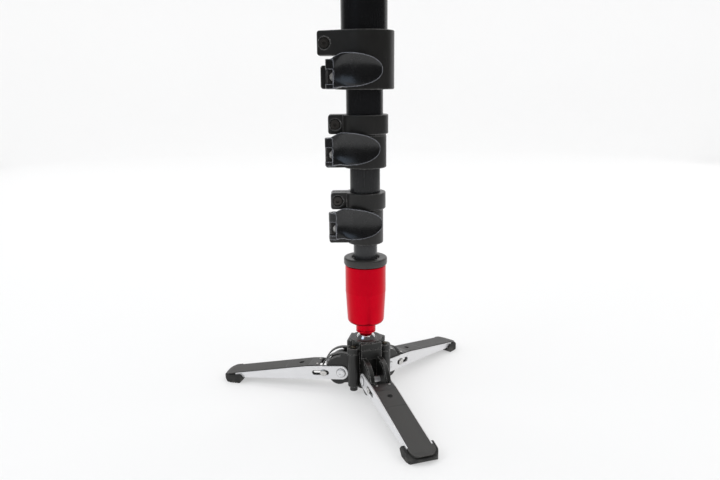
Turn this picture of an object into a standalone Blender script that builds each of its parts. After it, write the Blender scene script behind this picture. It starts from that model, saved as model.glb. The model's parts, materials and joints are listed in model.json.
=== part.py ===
"""A four-section video monopod, collapsed, on a folding three-legged foot.

The column stands on a chrome ball in a small cast hub. A red damped cartridge
turns on the ball's stem and carries the thinnest tube. Each wider tube slides
down over the next and is held by a lever clamp on its lower end. Lengths are
in metres. The origin is the middle of the hub's flat underside, +Z is up and
-Y is the side that the clamp levers face.
"""

import math

import bmesh
import bpy
from mathutils import Vector

# Clearances and sizes of cutting that every piece shares
fit_gap = 0.0003
cut_overrun = 0.0020
weld_distance = 0.0000001
smooth_below_angle = math.radians(32)

# How finely round things are divided
tube_sides = 24
part_sides = 20
pin_sides = 10
hex_sides = 6
arc_step = math.radians(18)
cap_step = math.radians(36)
end_step = math.radians(30)

# Hub: the cast body between the legs
hub_rise = 0.0040
hub_boss_radius = 0.0110
hub_boss_height = 0.0042
hub_core_top = 0.0380
leg_count = 3
front_leg_azimuth = math.radians(17.9)
post_circle_radius = 0.0165
post_radius = 0.0050
post_nub_radius = 0.0034
post_drop = 0.0040
post_top = hub_core_top - post_drop
wall_outer_reach = 0.0150
wall_thickness = 0.0032
wall_width = 0.0184
wall_bottom = 0.0291
hub_edge = 0.0006

# Leg hinge and the cheeks of the hub that hold it
pivot_reach = 0.0205
pivot_height = 0.0130
pivot_pin_radius = 0.0025
pivot_head_radius = 0.0038
pivot_head_thickness = 0.0009
cheek_inner_width = 0.0100
cheek_thickness = 0.0040
cheek_radius = 0.0183
cheek_jaw_angle = math.radians(15)
cheek_mouth_radius = 0.0177
cheek_mouth_angle = math.radians(-16)
cheek_lobe_radius = 0.0086
cheek_lobe_reach = 0.0026
cheek_lobe_drop = 0.0030
cheek_lobe_start_angle = math.radians(-20)
cheek_lobe_end_angle = math.radians(-130)
cheek_root_reach = 0.0085
cheek_top_angle = math.radians(100)
fold_angle = math.radians(85)

# Latch pin that slides along the leg and drops into the cheeks' mouth
latch_reach = 0.0160
latch_slope = math.radians(4)
latch_radius = 0.0020
latch_waist_radius = 0.0008
latch_head_radius = 0.0030
latch_head_thickness = 0.0008
latch_travel = 0.0080
slot_inner_reach = 0.0110
slot_end_play = 0.0005

# Leg: two side plates, a cover and a shoe, in the hinge's own frame
plate_thickness = 0.0012
plate_end_radius = 0.00625
plate_knee_reach = 0.0295
plate_knee_rise = 0.0038
plate_tip_reach = 0.0990
plate_tip_top_drop = 0.0086
plate_tip_depth = 0.0039
plate_tip_bottom_drop = plate_tip_top_drop + plate_tip_depth
cover_thickness = 0.0012
cover_rise = 0.0005
cover_outer_half_width = 0.0103
cover_cheek_gap = 0.0022
cover_inner_reach = cheek_radius + cover_cheek_gap
cover_overhang = 0.0108
cover_end_reach = plate_tip_reach + cover_overhang
cover_end_dip = 0.0021
cover_end_drop = plate_tip_top_drop + cover_end_dip
cover_mid_reach_share = 0.58
cover_mid_drop_share = 0.42
shoe_overlap = 0.0085
shoe_inner_reach = plate_tip_reach - shoe_overlap
shoe_heel_inset = 0.0040
shoe_sole_inner_reach = shoe_inner_reach + shoe_heel_inset
shoe_toe_margin = 0.0014
shoe_outer_reach = cover_end_reach + shoe_toe_margin
shoe_toe_inset = 0.0042
shoe_sole_outer_reach = shoe_outer_reach - shoe_toe_inset
shoe_side_margin = 0.0024
shoe_half_width = cover_outer_half_width + shoe_side_margin
shoe_corner_radius = 0.0080
shoe_wing_depth = 0.0003
shoe_wing_drop = plate_tip_bottom_drop + shoe_wing_depth
shoe_end_depth = 0.0011
shoe_end_drop = plate_tip_bottom_drop + shoe_end_depth
shoe_floor_thickness = 0.0030

# Latch spring and the stop that it pushes against
spring_radius = 0.0023
spring_wire_radius = 0.00035
spring_curls = 5
spring_points_per_curl = 8
spring_stop_length = 0.0030
spring_stop_half_width = 0.0036
spring_stop_drop = 0.0028

# Ball joint between the hub and the column
ball_radius = 0.0090
ball_rise = 0.0035
ball_height = hub_core_top + ball_rise
seat_play = 0.0004
seat_thickness = 0.0013
seat_inner_radius = ball_radius + seat_play
seat_outer_radius = seat_inner_radius + seat_thickness
cup_radius = seat_outer_radius + seat_play
cup_wall = 0.0026
hub_core_radius = cup_radius + cup_wall
seat_top_angle = math.radians(100)
seat_bottom_angle = math.radians(150)
retainer_step_rise = 0.0016
retainer_rise = 0.0032
retainer_wall_rise = 0.0022
retainer_ear_thickness = 0.0052
retainer_lip_radius = seat_inner_radius
hub_screw_radius = 0.0013
hub_screw_head_radius = 0.0024
hub_screw_head_height = 0.0012
hub_screw_length = 0.0140
stem_radius = 0.0040
rotor_radius = 0.0122
rotor_length = 0.0150

# Cartridge: the red housing that turns on the stem
neck_rise = 0.0089
neck_bottom = ball_height + neck_rise
neck_radius = 0.0085
neck_height = 0.0084
neck_flare = 0.0004
cartridge_bottom = neck_bottom + neck_height + neck_flare
cartridge_foot_radius = 0.0129
cartridge_corner_height = 0.0036
cartridge_low_radius = 0.0158
cartridge_belly_rise = 0.0278
cartridge_belly = cartridge_bottom + cartridge_belly_rise
cartridge_radius = 0.0173
cartridge_height = 0.0516
cartridge_top = cartridge_bottom + cartridge_height
rotor_gap = 0.0005
cartridge_bore_radius = rotor_radius + rotor_gap
cartridge_floor = 0.0030
cap_lip = 0.0011
cap_radius = cartridge_radius + cap_lip
cap_height = 0.0064
cap_edge = 0.0016
cap_well_depth = 0.0022
cap_well_radius = 0.0122
cap_sleeve_length = 0.0260
cap_sleeve_wall = 0.0019

# Column tubes, from the widest at the top to the thinnest at the foot
tube_1_radius = 0.0185
tube_2_radius = 0.0150
tube_3_radius = 0.0125
tube_4_radius = 0.0100
tube_radii = {1: tube_1_radius, 2: tube_2_radius, 3: tube_3_radius, 4: tube_4_radius}
tube_wall = 0.0013
tube_1_top = 0.6460
tube_2_drop = 0.0500
tube_2_top = tube_1_top - tube_2_drop
tube_3_drop = 0.0100
tube_3_top = tube_2_top - tube_3_drop
tube_4_drop = 0.0050
tube_4_top = tube_3_top - tube_4_drop
tube_tops = {1: tube_1_top, 2: tube_2_top, 3: tube_3_top, 4: tube_4_top}
bush_length = 0.0200
clamp_names = {1: "a", 2: "b", 3: "c"}

# Band heights of the three clamps, a on the widest tube, and the gap under each
band_slit = 0.0012
a_lower_height = 0.0249
b_lower_height = 0.0262
c_lower_height = 0.0282
lower_band_heights = {1: a_lower_height, 2: b_lower_height, 3: c_lower_height}
a_upper_height = 0.0190
b_upper_height = 0.0155
c_upper_height = 0.0138
upper_band_heights = {1: a_upper_height, 2: b_upper_height, 3: c_upper_height}
c_gap = 0.0129
b_gap = 0.0204
a_gap = 0.0196
c_bottom = cartridge_top + fit_gap + cap_height + c_gap
b_bottom = c_bottom + c_lower_height + band_slit + c_upper_height + b_gap
a_bottom = b_bottom + b_lower_height + band_slit + b_upper_height + a_gap
clamp_bottoms = {1: a_bottom, 2: b_bottom, 3: c_bottom}

# Walls of the clamps' bands round their tubes, and the rest of their bodies
a_upper_wall = 0.0054
b_upper_wall = 0.0042
c_upper_wall = 0.0046
a_upper_radius = tube_1_radius + a_upper_wall
b_upper_radius = tube_2_radius + b_upper_wall
c_upper_radius = tube_3_radius + c_upper_wall
upper_band_radii = {1: a_upper_radius, 2: b_upper_radius, 3: c_upper_radius}
a_lower_wall = 0.0089
b_lower_wall = 0.0052
c_lower_wall = 0.0051
a_lower_radius = tube_2_radius + a_lower_wall
b_lower_radius = tube_3_radius + b_lower_wall
c_lower_radius = tube_4_radius + c_lower_wall
lower_band_radii = {1: a_lower_radius, 2: b_lower_radius, 3: c_lower_radius}
band_slit_reach = 0.0120
band_groove = 0.0003
clamp_edge = 0.0008
liner_thickness = 0.0014
a_ear_length = 0.0134
b_ear_length = 0.0105
c_ear_length = 0.0114
a_ear_reach = a_upper_radius + a_ear_length
b_ear_reach = b_upper_radius + b_ear_length
c_ear_reach = c_upper_radius + c_ear_length
ear_reaches = {1: a_ear_reach, 2: b_ear_reach, 3: c_ear_reach}
ear_half_depth = 0.0078
ear_split = 0.0014
ear_screw_inset = 0.0058
ear_screw_radius = 0.0020
ear_screw_head_radius = 0.0038
ear_screw_head_depth = 0.0028
ear_seat_margin = 0.0006
ear_seat_rise = 0.0080
ear_screw_socket_radius = 0.0020
ear_screw_socket_depth = 0.0018
ear_corner = 0.0026

# Clamp levers, in the frame of the lever's pin
a_pin_offset = 0.0021
b_pin_offset = 0.0085
c_pin_offset = 0.0086
a_pin_reach = a_upper_radius + a_pin_offset
b_pin_reach = b_upper_radius + b_pin_offset
c_pin_reach = c_upper_radius + c_pin_offset
lever_pin_reaches = {1: a_pin_reach, 2: b_pin_reach, 3: c_pin_reach}
a_lever_rise = 0.0120
b_lever_rise = 0.0138
c_lever_rise = 0.0162
lever_rises = {1: a_lever_rise, 2: b_lever_rise, 3: c_lever_rise}
lever_pin_radius = 0.0017
lever_cam_radius = 0.0046
lever_root_height = 0.0226
lever_curve_across = 0.0260
lever_curve_back = 0.0175
lever_inner_radius = 0.0255
lever_clearance = 0.0007
lever_thickness = 0.0052
lever_root_thickness = 0.0070
lever_root_lift = 0.0016
lever_root_angle = math.radians(-54)
lever_tip_angle = math.radians(28.5)
lever_paddle_half_height = 0.0132
lever_paddle_rise = 0.0031
lever_widest_share = 0.32
lever_end_share = 1.003
lever_root_blend_share = 0.20
lever_thinning_share = 0.55
lever_dish_start_share = 0.18
lever_dish_length_share = 0.78
lever_dish_width_share = 0.86
lever_rim_share = 0.85
lever_stations = 13
lever_dish_share = 0.50
lever_tip_share = 0.60
eye_outer_radius = 0.0034
eye_height = 0.0106
eye_slot_height = 0.0112
eye_drop = 0.0020
eye_window_reach = 0.0012
bolt_radius = 0.0018
bolt_nut_radius = 0.0030
bolt_nut_length = 0.0032
bolt_nut_share = 0.8
lower_ear_drop = 0.0045
front_ear_overhang = 0.0046
a_rear_overhang = 0.0092
rear_ear_overhangs = {1: a_rear_overhang, 2: front_ear_overhang, 3: front_ear_overhang}

# Cross-section of a lever, round from its inner face: half-height and thickness shares
lever_section_shares = (
    (0.00, 0.00),
    (0.55, 0.00),
    (0.90, 0.04),
    (1.00, 0.34),
    (0.98, 0.72),
    (0.86, 1.00),
    (0.66, 0.93),
    (0.34, 0.90),
    (0.00, 0.90),
)

# Grip, top cap and camera plate
grip_drop = 0.0240
grip_length = 0.1420
grip_top = tube_1_top - grip_drop
grip_bottom = grip_top - grip_length
grip_thickness = 0.0033
grip_radius = tube_1_radius + grip_thickness
grip_edge = 0.0030
top_cap_wall = 0.0021
top_cap_radius = tube_1_radius + top_cap_wall
top_cap_gap = 0.0005
top_cap_bottom = grip_top + top_cap_gap
top_cap_rise = 0.0060
top_cap_top = tube_1_top + top_cap_rise
top_cap_shoulder_drop = 0.0080
top_cap_shoulder = top_cap_top - top_cap_shoulder_drop
top_cap_plug_length = 0.0080
top_cap_neck_radius = 0.0140
camera_plate_radius = 0.0240
camera_plate_thickness = 0.0050
camera_plate_edge = 0.0010
pad_thickness = 0.0016
pad_margin = 0.0012
camera_screw_radius = 0.0047
camera_screw_reach = 0.0095
camera_screw_thread = 0.0007
camera_screw_root = camera_screw_radius - camera_screw_thread
camera_screw_pitch = 0.0024
pad_hole_margin = 0.0013
camera_screw_hole_radius = camera_screw_radius + pad_hole_margin

# Finishes: colour, roughness, metallic
black_tube = ((0.020, 0.021, 0.023), 0.38, 0.6)
black_cast = ((0.030, 0.030, 0.031), 0.42, 0.3)
black_gloss = ((0.014, 0.014, 0.015), 0.16, 0.0)
black_satin = ((0.055, 0.055, 0.058), 0.45, 0.3)
black_rubber = ((0.022, 0.022, 0.023), 0.75, 0.0)
red_anodised = ((0.520, 0.004, 0.022), 0.22, 0.8)
bright_metal = ((0.800, 0.800, 0.810), 0.25, 1.0)
chrome = ((0.900, 0.900, 0.910), 0.08, 1.0)
dark_steel = ((0.120, 0.120, 0.125), 0.35, 0.9)
pale_plastic = ((0.700, 0.690, 0.660), 0.50, 0.0)
grey_plastic = ((0.180, 0.180, 0.185), 0.55, 0.0)


def start_empty():
    """Remove what the file holds."""
    for item in list(bpy.data.objects):
        bpy.data.objects.remove(item, do_unlink=True)


def place_empty(name, location, parent=None, turn=0.0):
    """A joint or a group of pieces, turned about Z."""
    empty = bpy.data.objects.new(name, None)
    empty.empty_display_size = ball_radius
    bpy.context.scene.collection.objects.link(empty)
    empty.parent = parent
    empty.location = location
    empty.rotation_euler = (0, 0, turn)
    return empty


def finish_material(name, finish):
    """A plain Principled finish of its own for one piece."""
    colour, roughness, metallic = finish
    material = bpy.data.materials.new(name + "_finish")
    material.use_nodes = True
    shader = material.node_tree.nodes["Principled BSDF"]
    shader.inputs["Base Color"].default_value = (*colour, 1)
    shader.inputs["Roughness"].default_value = roughness
    shader.inputs["Metallic"].default_value = metallic
    return material


def add_piece(name, shape, finish, parent=None, location=(0, 0, 0), rotation=(0, 0, 0)):
    """An object from a finished bmesh, smooth but for its real edges."""
    mesh = bpy.data.meshes.new(name)
    bmesh.ops.recalc_face_normals(shape, faces=shape.faces)
    shape.to_mesh(mesh)
    shape.free()
    mesh.shade_smooth()
    mesh.set_sharp_from_angle(angle=smooth_below_angle)
    mesh.materials.append(finish_material(name, finish))
    piece = bpy.data.objects.new(name, mesh)
    bpy.context.scene.collection.objects.link(piece)
    piece.parent = parent
    piece.location = location
    piece.rotation_euler = rotation
    return piece


def turned(profile, sides, ring=False):
    """Spin (radius, height) points about Z. A ring's profile closes on itself."""
    shape = bmesh.new()
    corners = [shape.verts.new((radius, 0, height)) for radius, height in profile]
    edges = [shape.edges.new(pair) for pair in zip(corners, corners[1:])]
    if ring:
        edges.append(shape.edges.new((corners[-1], corners[0])))
    bmesh.ops.spin(
        shape,
        geom=corners + edges,
        cent=(0, 0, 0),
        axis=(0, 0, 1),
        dvec=(0, 0, 0),
        angle=math.tau,
        steps=sides,
        use_merge=True,
        use_duplicate=False,
    )
    bmesh.ops.remove_doubles(shape, verts=shape.verts, dist=weld_distance)
    return shape


def extruded(outline, start, end, along="Z"):
    """Draw an outline out along Z, or an (x, z) outline out along Y."""
    shape = bmesh.new()
    low = Vector((0, 0, start)) if along == "Z" else Vector((0, start, 0))
    high = Vector((0, 0, end)) if along == "Z" else Vector((0, end, 0))
    flat = [Vector((a, b, 0)) if along == "Z" else Vector((a, 0, b)) for a, b in outline]
    rings = [[shape.verts.new(point + shift) for point in flat] for shift in (low, high)]
    skin(shape, rings)
    return shape


def skin(shape, rings):
    """Join like rings of corners into one closed body with flat ends."""
    for near, far in zip(rings, rings[1:]):
        for index in range(len(near)):
            after = (index + 1) % len(near)
            shape.faces.new((near[index], near[after], far[after], far[index]))
    shape.faces.new(rings[0])
    shape.faces.new(rings[-1])


def arc(centre, radius, start, end, step=arc_step):
    """Points along an arc, its two ends included."""
    count = max(2, math.ceil(abs(end - start) / step - weld_distance) + 1)
    angles = [start + (end - start) * index / (count - 1) for index in range(count)]
    return [
        (centre[0] + radius * math.cos(angle), centre[1] + radius * math.sin(angle))
        for angle in angles
    ]


def box_outline(low_x, high_x, low_y, high_y):
    """The four corners of a rectangle."""
    return [(low_x, low_y), (high_x, low_y), (high_x, high_y), (low_x, high_y)]


def rod(radius, start, end, sides):
    """A plain cylinder along Z."""
    return turned([(0, start), (radius, start), (radius, end), (0, end)], sides)


def tube(outer, inner, start, end, sides):
    """A plain open tube along Z."""
    return turned([(inner, start), (outer, start), (outer, end), (inner, end)], sides, ring=True)


def combine(target, tool, operation="DIFFERENCE", solver="EXACT"):
    """Cut a hidden tool from a piece, or join it on."""
    tool.hide_render = True
    tool.display_type = "WIRE"
    step = target.modifiers.new(operation.title() + " " + tool.name, "BOOLEAN")
    step.operation = operation
    step.solver = solver
    step.object = tool


def soften(piece, width, segments=1):
    """Round a piece's sharp edges."""
    step = piece.modifiers.new("Soft edges", "BEVEL")
    step.width = width
    step.segments = segments
    step.limit_method = "ANGLE"
    step.angle_limit = smooth_below_angle
    step.use_clamp_overlap = True


def azimuth_turn(azimuth):
    """Turn that points local +X along an azimuth, which runs from -Y towards +X."""
    return azimuth - math.pi / 2


def leg_azimuths():
    """Name and azimuth of each leg."""
    names = ("front", "right", "left")
    return [
        (name, front_leg_azimuth + math.tau * index / leg_count)
        for index, name in enumerate(names)
    ]


def post_azimuths():
    """Each post stands half way between two legs."""
    return [azimuth + math.pi / leg_count for _, azimuth in leg_azimuths()]


def circle_point(radius, azimuth, height):
    """A point on a circle round the column."""
    return (radius * math.sin(azimuth), -radius * math.cos(azimuth), height)


def cheek_outline():
    """Side view of a hub cheek about the leg's pivot: its rim, latch track, mouth and round lobe."""
    half_track = latch_waist_radius + fit_gap
    track_inner = latch_reach - half_track
    track_outer = latch_reach + half_track
    track_end = fold_angle - latch_slope + math.asin(slot_end_play / latch_reach)
    middle = (latch_reach * math.cos(track_end), latch_reach * math.sin(track_end))
    hole = (0, 0)
    root = -cheek_root_reach - (pivot_reach - hub_core_radius)
    rim_top = cheek_radius * math.sin(cheek_top_angle)
    mouth_inner = -latch_slope - math.asin(half_track / track_inner)
    mouth_outer = -latch_slope - math.asin(half_track / cheek_mouth_radius)
    lobe = (cheek_lobe_reach, -cheek_lobe_drop)
    post_foot = hub_boss_height - pivot_height
    outline = [(root, rim_top)]
    outline += arc(hole, cheek_radius, cheek_top_angle, cheek_jaw_angle)
    outline += arc(hole, track_outer, cheek_jaw_angle, track_end)
    outline += arc(middle, half_track, track_end, track_end + math.pi, cap_step)[1:-1]
    outline += arc(hole, track_inner, track_end, mouth_inner)
    outline += arc(hole, cheek_mouth_radius, mouth_outer, cheek_mouth_angle)
    outline += arc(lobe, cheek_lobe_radius, cheek_lobe_start_angle, cheek_lobe_end_angle)
    outline.append((root, post_foot))
    return outline


def wall_shape(low, high):
    """Block with a flat outer face above a leg's slot, between two heights."""
    inner = wall_outer_reach - wall_thickness
    half_angle = math.asin(wall_width / 2 / inner)
    outline = [(wall_outer_reach, -wall_width / 2), (wall_outer_reach, wall_width / 2)]
    outline += arc((0, 0), inner, half_angle, -half_angle)
    return extruded(outline, low, high)


def hub_profile():
    """Turned core with a flat underside and the ball's cup in its top."""
    drop = ball_height - hub_core_top
    rim_angle = -math.asin(drop / cup_radius)
    cup = arc((0, ball_height), cup_radius, rim_angle, -math.pi / 2)
    profile = [
        (0, 0),
        (hub_boss_radius, 0),
        (hub_boss_radius, hub_boss_height),
        (hub_core_radius, hub_boss_height),
        (hub_core_radius, hub_core_top),
    ]
    return profile + cup[:-1] + [(0, ball_height - cup_radius)]


def make_hub(foot):
    """Cast hub: core, three posts, three walls and six cheeks."""
    hub = add_piece("hub", turned(hub_profile(), tube_sides), black_cast, foot)
    post_hole_radius = hub_screw_radius + fit_gap
    for number, azimuth in enumerate(post_azimuths(), 1):
        post = turned(
            [
                (0, 0),
                (post_nub_radius, 0),
                (post_nub_radius, hub_boss_height),
                (post_radius - hub_edge, hub_boss_height),
                (post_radius, hub_boss_height + hub_edge),
                (post_radius, post_top),
                (0, post_top),
            ],
            pin_sides,
        )
        where = circle_point(post_circle_radius, azimuth, 0)
        turn = (0, 0, azimuth_turn(azimuth))
        form = add_piece(f"hub_post_{number}_form", post, black_cast, foot, where, turn)
        combine(hub, form, "UNION")
    cheek_outer = cheek_inner_width / 2 + cheek_thickness
    for name, azimuth in leg_azimuths():
        turn = (0, 0, azimuth_turn(azimuth))
        wall = wall_shape(wall_bottom, hub_core_top)
        form = add_piece(f"hub_wall_{name}_form", wall, black_cast, foot, (0, 0, 0), turn)
        combine(hub, form, "UNION")
        for side, sign in (("left", 1), ("right", -1)):
            near, far = sorted((sign * cheek_inner_width / 2, sign * cheek_outer))
            cheek = extruded(cheek_outline(), near, far, "Y")
            where = circle_point(pivot_reach, azimuth, pivot_height)
            form = add_piece(f"hub_cheek_{name}_{side}_form", cheek, black_cast, foot, where, turn)
            combine(hub, form, "UNION")
    for name, azimuth in leg_azimuths():
        reach = cheek_outer + cut_overrun
        hole = rod(pivot_pin_radius + fit_gap, -reach, reach, pin_sides)
        where = circle_point(pivot_reach, azimuth, pivot_height)
        turn = (math.pi / 2, 0, azimuth_turn(azimuth))
        combine(hub, add_piece(f"hub_pivot_{name}_cut", hole, black_cast, foot, where, turn))
    for number, azimuth in enumerate(post_azimuths(), 1):
        bottom = retainer_top() - hub_screw_length - fit_gap
        hole = rod(post_hole_radius, bottom, post_top + cut_overrun, pin_sides)
        where = circle_point(post_circle_radius, azimuth, 0)
        combine(hub, add_piece(f"hub_post_{number}_cut", hole, black_cast, foot, where))
    return hub


def retainer_top():
    """Height of the retainer's ears, where the screw heads sit."""
    return post_top + fit_gap + retainer_ear_thickness


def ear_boss_outline():
    """Plan of a retainer ear over its post: round outside, hollow where it clears the core."""
    core = hub_core_radius + 2 * fit_gap
    apart = post_circle_radius
    core_angle = math.acos((apart ** 2 + core ** 2 - post_radius ** 2) / (2 * apart * core))
    meet = math.pi - math.acos((apart ** 2 + post_radius ** 2 - core ** 2) / (2 * apart * post_radius))
    middle = (apart, 0)
    outline = arc(middle, post_radius, -meet, -math.pi / 2)[:-1]
    outline += arc(middle, post_radius, -math.pi / 2, math.pi / 2)
    outline += arc(middle, post_radius, math.pi / 2, meet)[1:]
    return outline + arc((0, 0), core, core_angle, -core_angle)[1:-1]


def make_retainer(foot):
    """Ring with three ears that keeps the ball in the cup."""
    bottom = hub_core_top + fit_gap
    top = ball_height + retainer_rise
    step = ball_height + retainer_step_rise
    low_angle = math.asin((bottom - ball_height) / cup_radius)
    step_angle = math.asin(retainer_step_rise / cup_radius)
    lip_low = math.asin(retainer_step_rise / retainer_lip_radius)
    lip_high = math.asin(retainer_rise / retainer_lip_radius)
    middle = (0, ball_height)
    profile = [
        (hub_core_radius, bottom),
        (hub_core_radius, top - hub_edge),
        (hub_core_radius - hub_edge, top),
    ]
    profile += arc(middle, retainer_lip_radius, lip_high, lip_low)
    profile += arc(middle, cup_radius, step_angle, low_angle)
    ring = add_piece("ball_retainer", turned(profile, tube_sides, ring=True), black_cast, foot)
    inner = cup_radius + hub_edge
    for number, azimuth in enumerate(post_azimuths(), 1):
        outline = box_outline(inner, post_circle_radius, -post_radius, post_radius)
        outline[2:2] = arc((post_circle_radius, 0), post_radius, -math.pi / 2, math.pi / 2)[1:-1]
        ear = extruded(outline, bottom, retainer_top())
        turn = (0, 0, azimuth_turn(azimuth))
        form = add_piece(f"retainer_ear_{number}_form", ear, black_cast, foot, (0, 0, 0), turn)
        combine(ring, form, "UNION")
        boss = extruded(ear_boss_outline(), post_top + fit_gap, retainer_top())
        form = add_piece(f"retainer_boss_{number}_form", boss, black_cast, foot, (0, 0, 0), turn)
        combine(ring, form, "UNION")
    for name, azimuth in leg_azimuths():
        wall = wall_shape(bottom, ball_height + retainer_wall_rise)
        turn = (0, 0, azimuth_turn(azimuth))
        form = add_piece(f"retainer_wall_{name}_form", wall, black_cast, foot, (0, 0, 0), turn)
        combine(ring, form, "UNION")
    for number, azimuth in enumerate(post_azimuths(), 1):
        through = post_top - cut_overrun
        hole = rod(hub_screw_radius + fit_gap, through, retainer_top() + cut_overrun, pin_sides)
        where = circle_point(post_circle_radius, azimuth, 0)
        combine(ring, add_piece(f"retainer_ear_{number}_cut", hole, black_cast, foot, where))
    head = retainer_top() + fit_gap
    shank_end = retainer_top() - hub_screw_length
    for number, azimuth in enumerate(post_azimuths(), 1):
        profile = [
            (0, shank_end),
            (hub_screw_radius, shank_end),
            (hub_screw_radius, head),
            (hub_screw_head_radius, head),
            (hub_screw_head_radius, head + hub_screw_head_height / 2),
            (hub_screw_head_radius / 2, head + hub_screw_head_height),
            (0, head + hub_screw_head_height),
        ]
        where = circle_point(post_circle_radius, azimuth, 0)
        add_piece(f"hub_screw_{number}", turned(profile, pin_sides), dark_steel, foot, where)


def plate_top(reach):
    """Height of a side plate's upper edge above the pivot, which drops faster past its knee."""
    if reach <= plate_knee_reach:
        return plate_end_radius - (plate_end_radius - plate_knee_rise) * reach / plate_knee_reach
    along = (reach - plate_knee_reach) / (plate_tip_reach - plate_knee_reach)
    return plate_knee_rise - along * (plate_knee_rise + plate_tip_top_drop)


def plate_outline():
    """Side view of a leg's side plate: round at the pivot, tapered to the shoe."""
    outline = arc((0, 0), plate_end_radius, math.pi / 2, 3 * math.pi / 2)
    outline.append((plate_tip_reach, -plate_tip_bottom_drop))
    outline.append((plate_tip_reach, -plate_tip_top_drop))
    outline.append((plate_knee_reach, plate_knee_rise))
    return outline


def slot_outline():
    """Latch slot in a side plate."""
    half = latch_radius + fit_gap
    inner = slot_inner_reach + half
    outer = latch_reach + latch_travel + slot_end_play - fit_gap
    outline = arc((outer, 0), half, -math.pi / 2, math.pi / 2, end_step)
    return outline + arc((inner, 0), half, math.pi / 2, 3 * math.pi / 2, end_step)


def cover_top_line():
    """Upper side of the cover, from beside the cheeks' rim to its bent end over the shoe."""
    bend = (plate_tip_reach, plate_top(plate_tip_reach) + cover_rise)
    middle = (
        bend[0] + (cover_end_reach - bend[0]) * cover_mid_reach_share,
        bend[1] - (bend[1] + cover_end_drop) * cover_mid_drop_share,
    )
    return [
        (cover_inner_reach, plate_top(cover_inner_reach) + cover_rise),
        (plate_knee_reach, plate_knee_rise + cover_rise),
        bend,
        middle,
        (cover_end_reach, -cover_end_drop),
    ]


def below_cover(depth):
    """The cover's upper side moved down, its end drawn in by as much."""
    line = [(reach, height - depth) for reach, height in cover_top_line()]
    line[-1] = (cover_end_reach - depth, line[-1][1])
    return line


def cover_side_outline():
    """Side view of the cover, one sheet thick."""
    return cover_top_line() + below_cover(cover_thickness)[::-1]


def cover_plan_outline():
    """Plan of the cover: it lies between the plates and widens past their tips."""
    near = plate_inner() - fit_gap
    far = cover_outer_half_width
    corner = shoe_corner_radius - (shoe_half_width - far)
    widens = plate_tip_reach + fit_gap
    half = [(cover_inner_reach - cut_overrun, near), (widens, near), (widens, far)]
    half.append((cover_end_reach - corner, far))
    half += arc((cover_end_reach - corner, far - corner), corner, math.pi / 2, 0)[1:]
    return half + [(x, -y) for x, y in reversed(half)]


def shoe_side_outline():
    """Side view of the rubber shoe: its sole on the ground, its top under the cover."""
    sole = -(pivot_height + hub_rise)
    top = below_cover(cover_thickness + fit_gap)
    return [
        (shoe_inner_reach, -shoe_wing_drop),
        (shoe_sole_inner_reach, sole),
        (shoe_sole_outer_reach, sole),
        (shoe_outer_reach, -shoe_end_drop),
        (shoe_outer_reach, top[-1][1]),
    ] + top[:1:-1]


def shoe_plan_outline():
    """Plan of the shoe: square at the wings, rounded at the toe."""
    corner = shoe_corner_radius
    half = [
        (shoe_inner_reach - cut_overrun, shoe_half_width),
        (shoe_outer_reach - corner, shoe_half_width),
    ]
    half += arc((shoe_outer_reach - corner, shoe_half_width - corner), corner, math.pi / 2, 0)[1:]
    return half + [(x, -y) for x, y in reversed(half)]


def spring_route():
    """Coil between the latch pin and its stop, straight for one wire diameter at each end."""
    start = latch_reach + latch_waist_radius + fit_gap
    end = spring_stop_reach() - fit_gap
    straight = 2 * spring_wire_radius
    length = end - start - 2 * straight
    count = spring_curls * spring_points_per_curl
    points = [Vector((start, spring_radius, 0))]
    for index in range(count + 1):
        share = index / count
        angle = math.tau * spring_curls * share
        points.append(Vector((
            start + straight + length * share,
            spring_radius * math.cos(angle),
            spring_radius * math.sin(angle),
        )))
    points.append(Vector((end, spring_radius, 0)))
    return points


def spring_stop_reach():
    """Where the stop's face stands on the leg."""
    spare = 2 * spring_wire_radius * (spring_curls + 2)
    return latch_reach + latch_travel + latch_radius + spare + spring_stop_length


def print_spring_gap(points):
    """Least gap between turns of the coil, measured on its points."""
    least = min(
        (points[a] - points[b]).length
        for a in range(len(points))
        for b in range(a + spring_points_per_curl // 2 + 1, len(points))
    )
    print("latch spring: least gap between turns", round(least - 2 * spring_wire_radius, 5), "m")


def add_spring(name, hinge):
    """One unbroken tube along the coil's route."""
    points = spring_route()
    curve = bpy.data.curves.new(name, "CURVE")
    curve.dimensions = "3D"
    curve.bevel_depth = spring_wire_radius
    curve.bevel_resolution = 1
    curve.use_fill_caps = True
    line = curve.splines.new("POLY")
    line.points.add(len(points) - 1)
    for spot, point in zip(line.points, points):
        spot.co = (*point, 1)
    curve.materials.append(finish_material(name, bright_metal))
    spring = bpy.data.objects.new(name, curve)
    bpy.context.scene.collection.objects.link(spring)
    spring.parent = hinge
    return points


def headed_pin(radius, head_radius, head_thickness, waist_radius):
    """A pin along Z through both side plates, with heads outside and a waist between."""
    shoulder = plate_outer() + fit_gap
    end = shoulder + head_thickness
    waist = plate_inner() - fit_gap / 2
    half = [
        (waist_radius, waist),
        (radius, waist),
        (radius, shoulder),
        (head_radius, shoulder),
        (head_radius, end - head_thickness / 2),
        (head_radius - head_thickness / 2, end),
        (0, end),
    ]
    if waist_radius == radius:
        half = half[2:]
    return turned([(r, -z) for r, z in reversed(half)] + half, pin_sides)


def plate_inner():
    """Half the distance between the two side plates."""
    return cheek_inner_width / 2 + cheek_thickness + fit_gap


def plate_outer():
    """Half the width over both side plates."""
    return plate_inner() + plate_thickness


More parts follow.
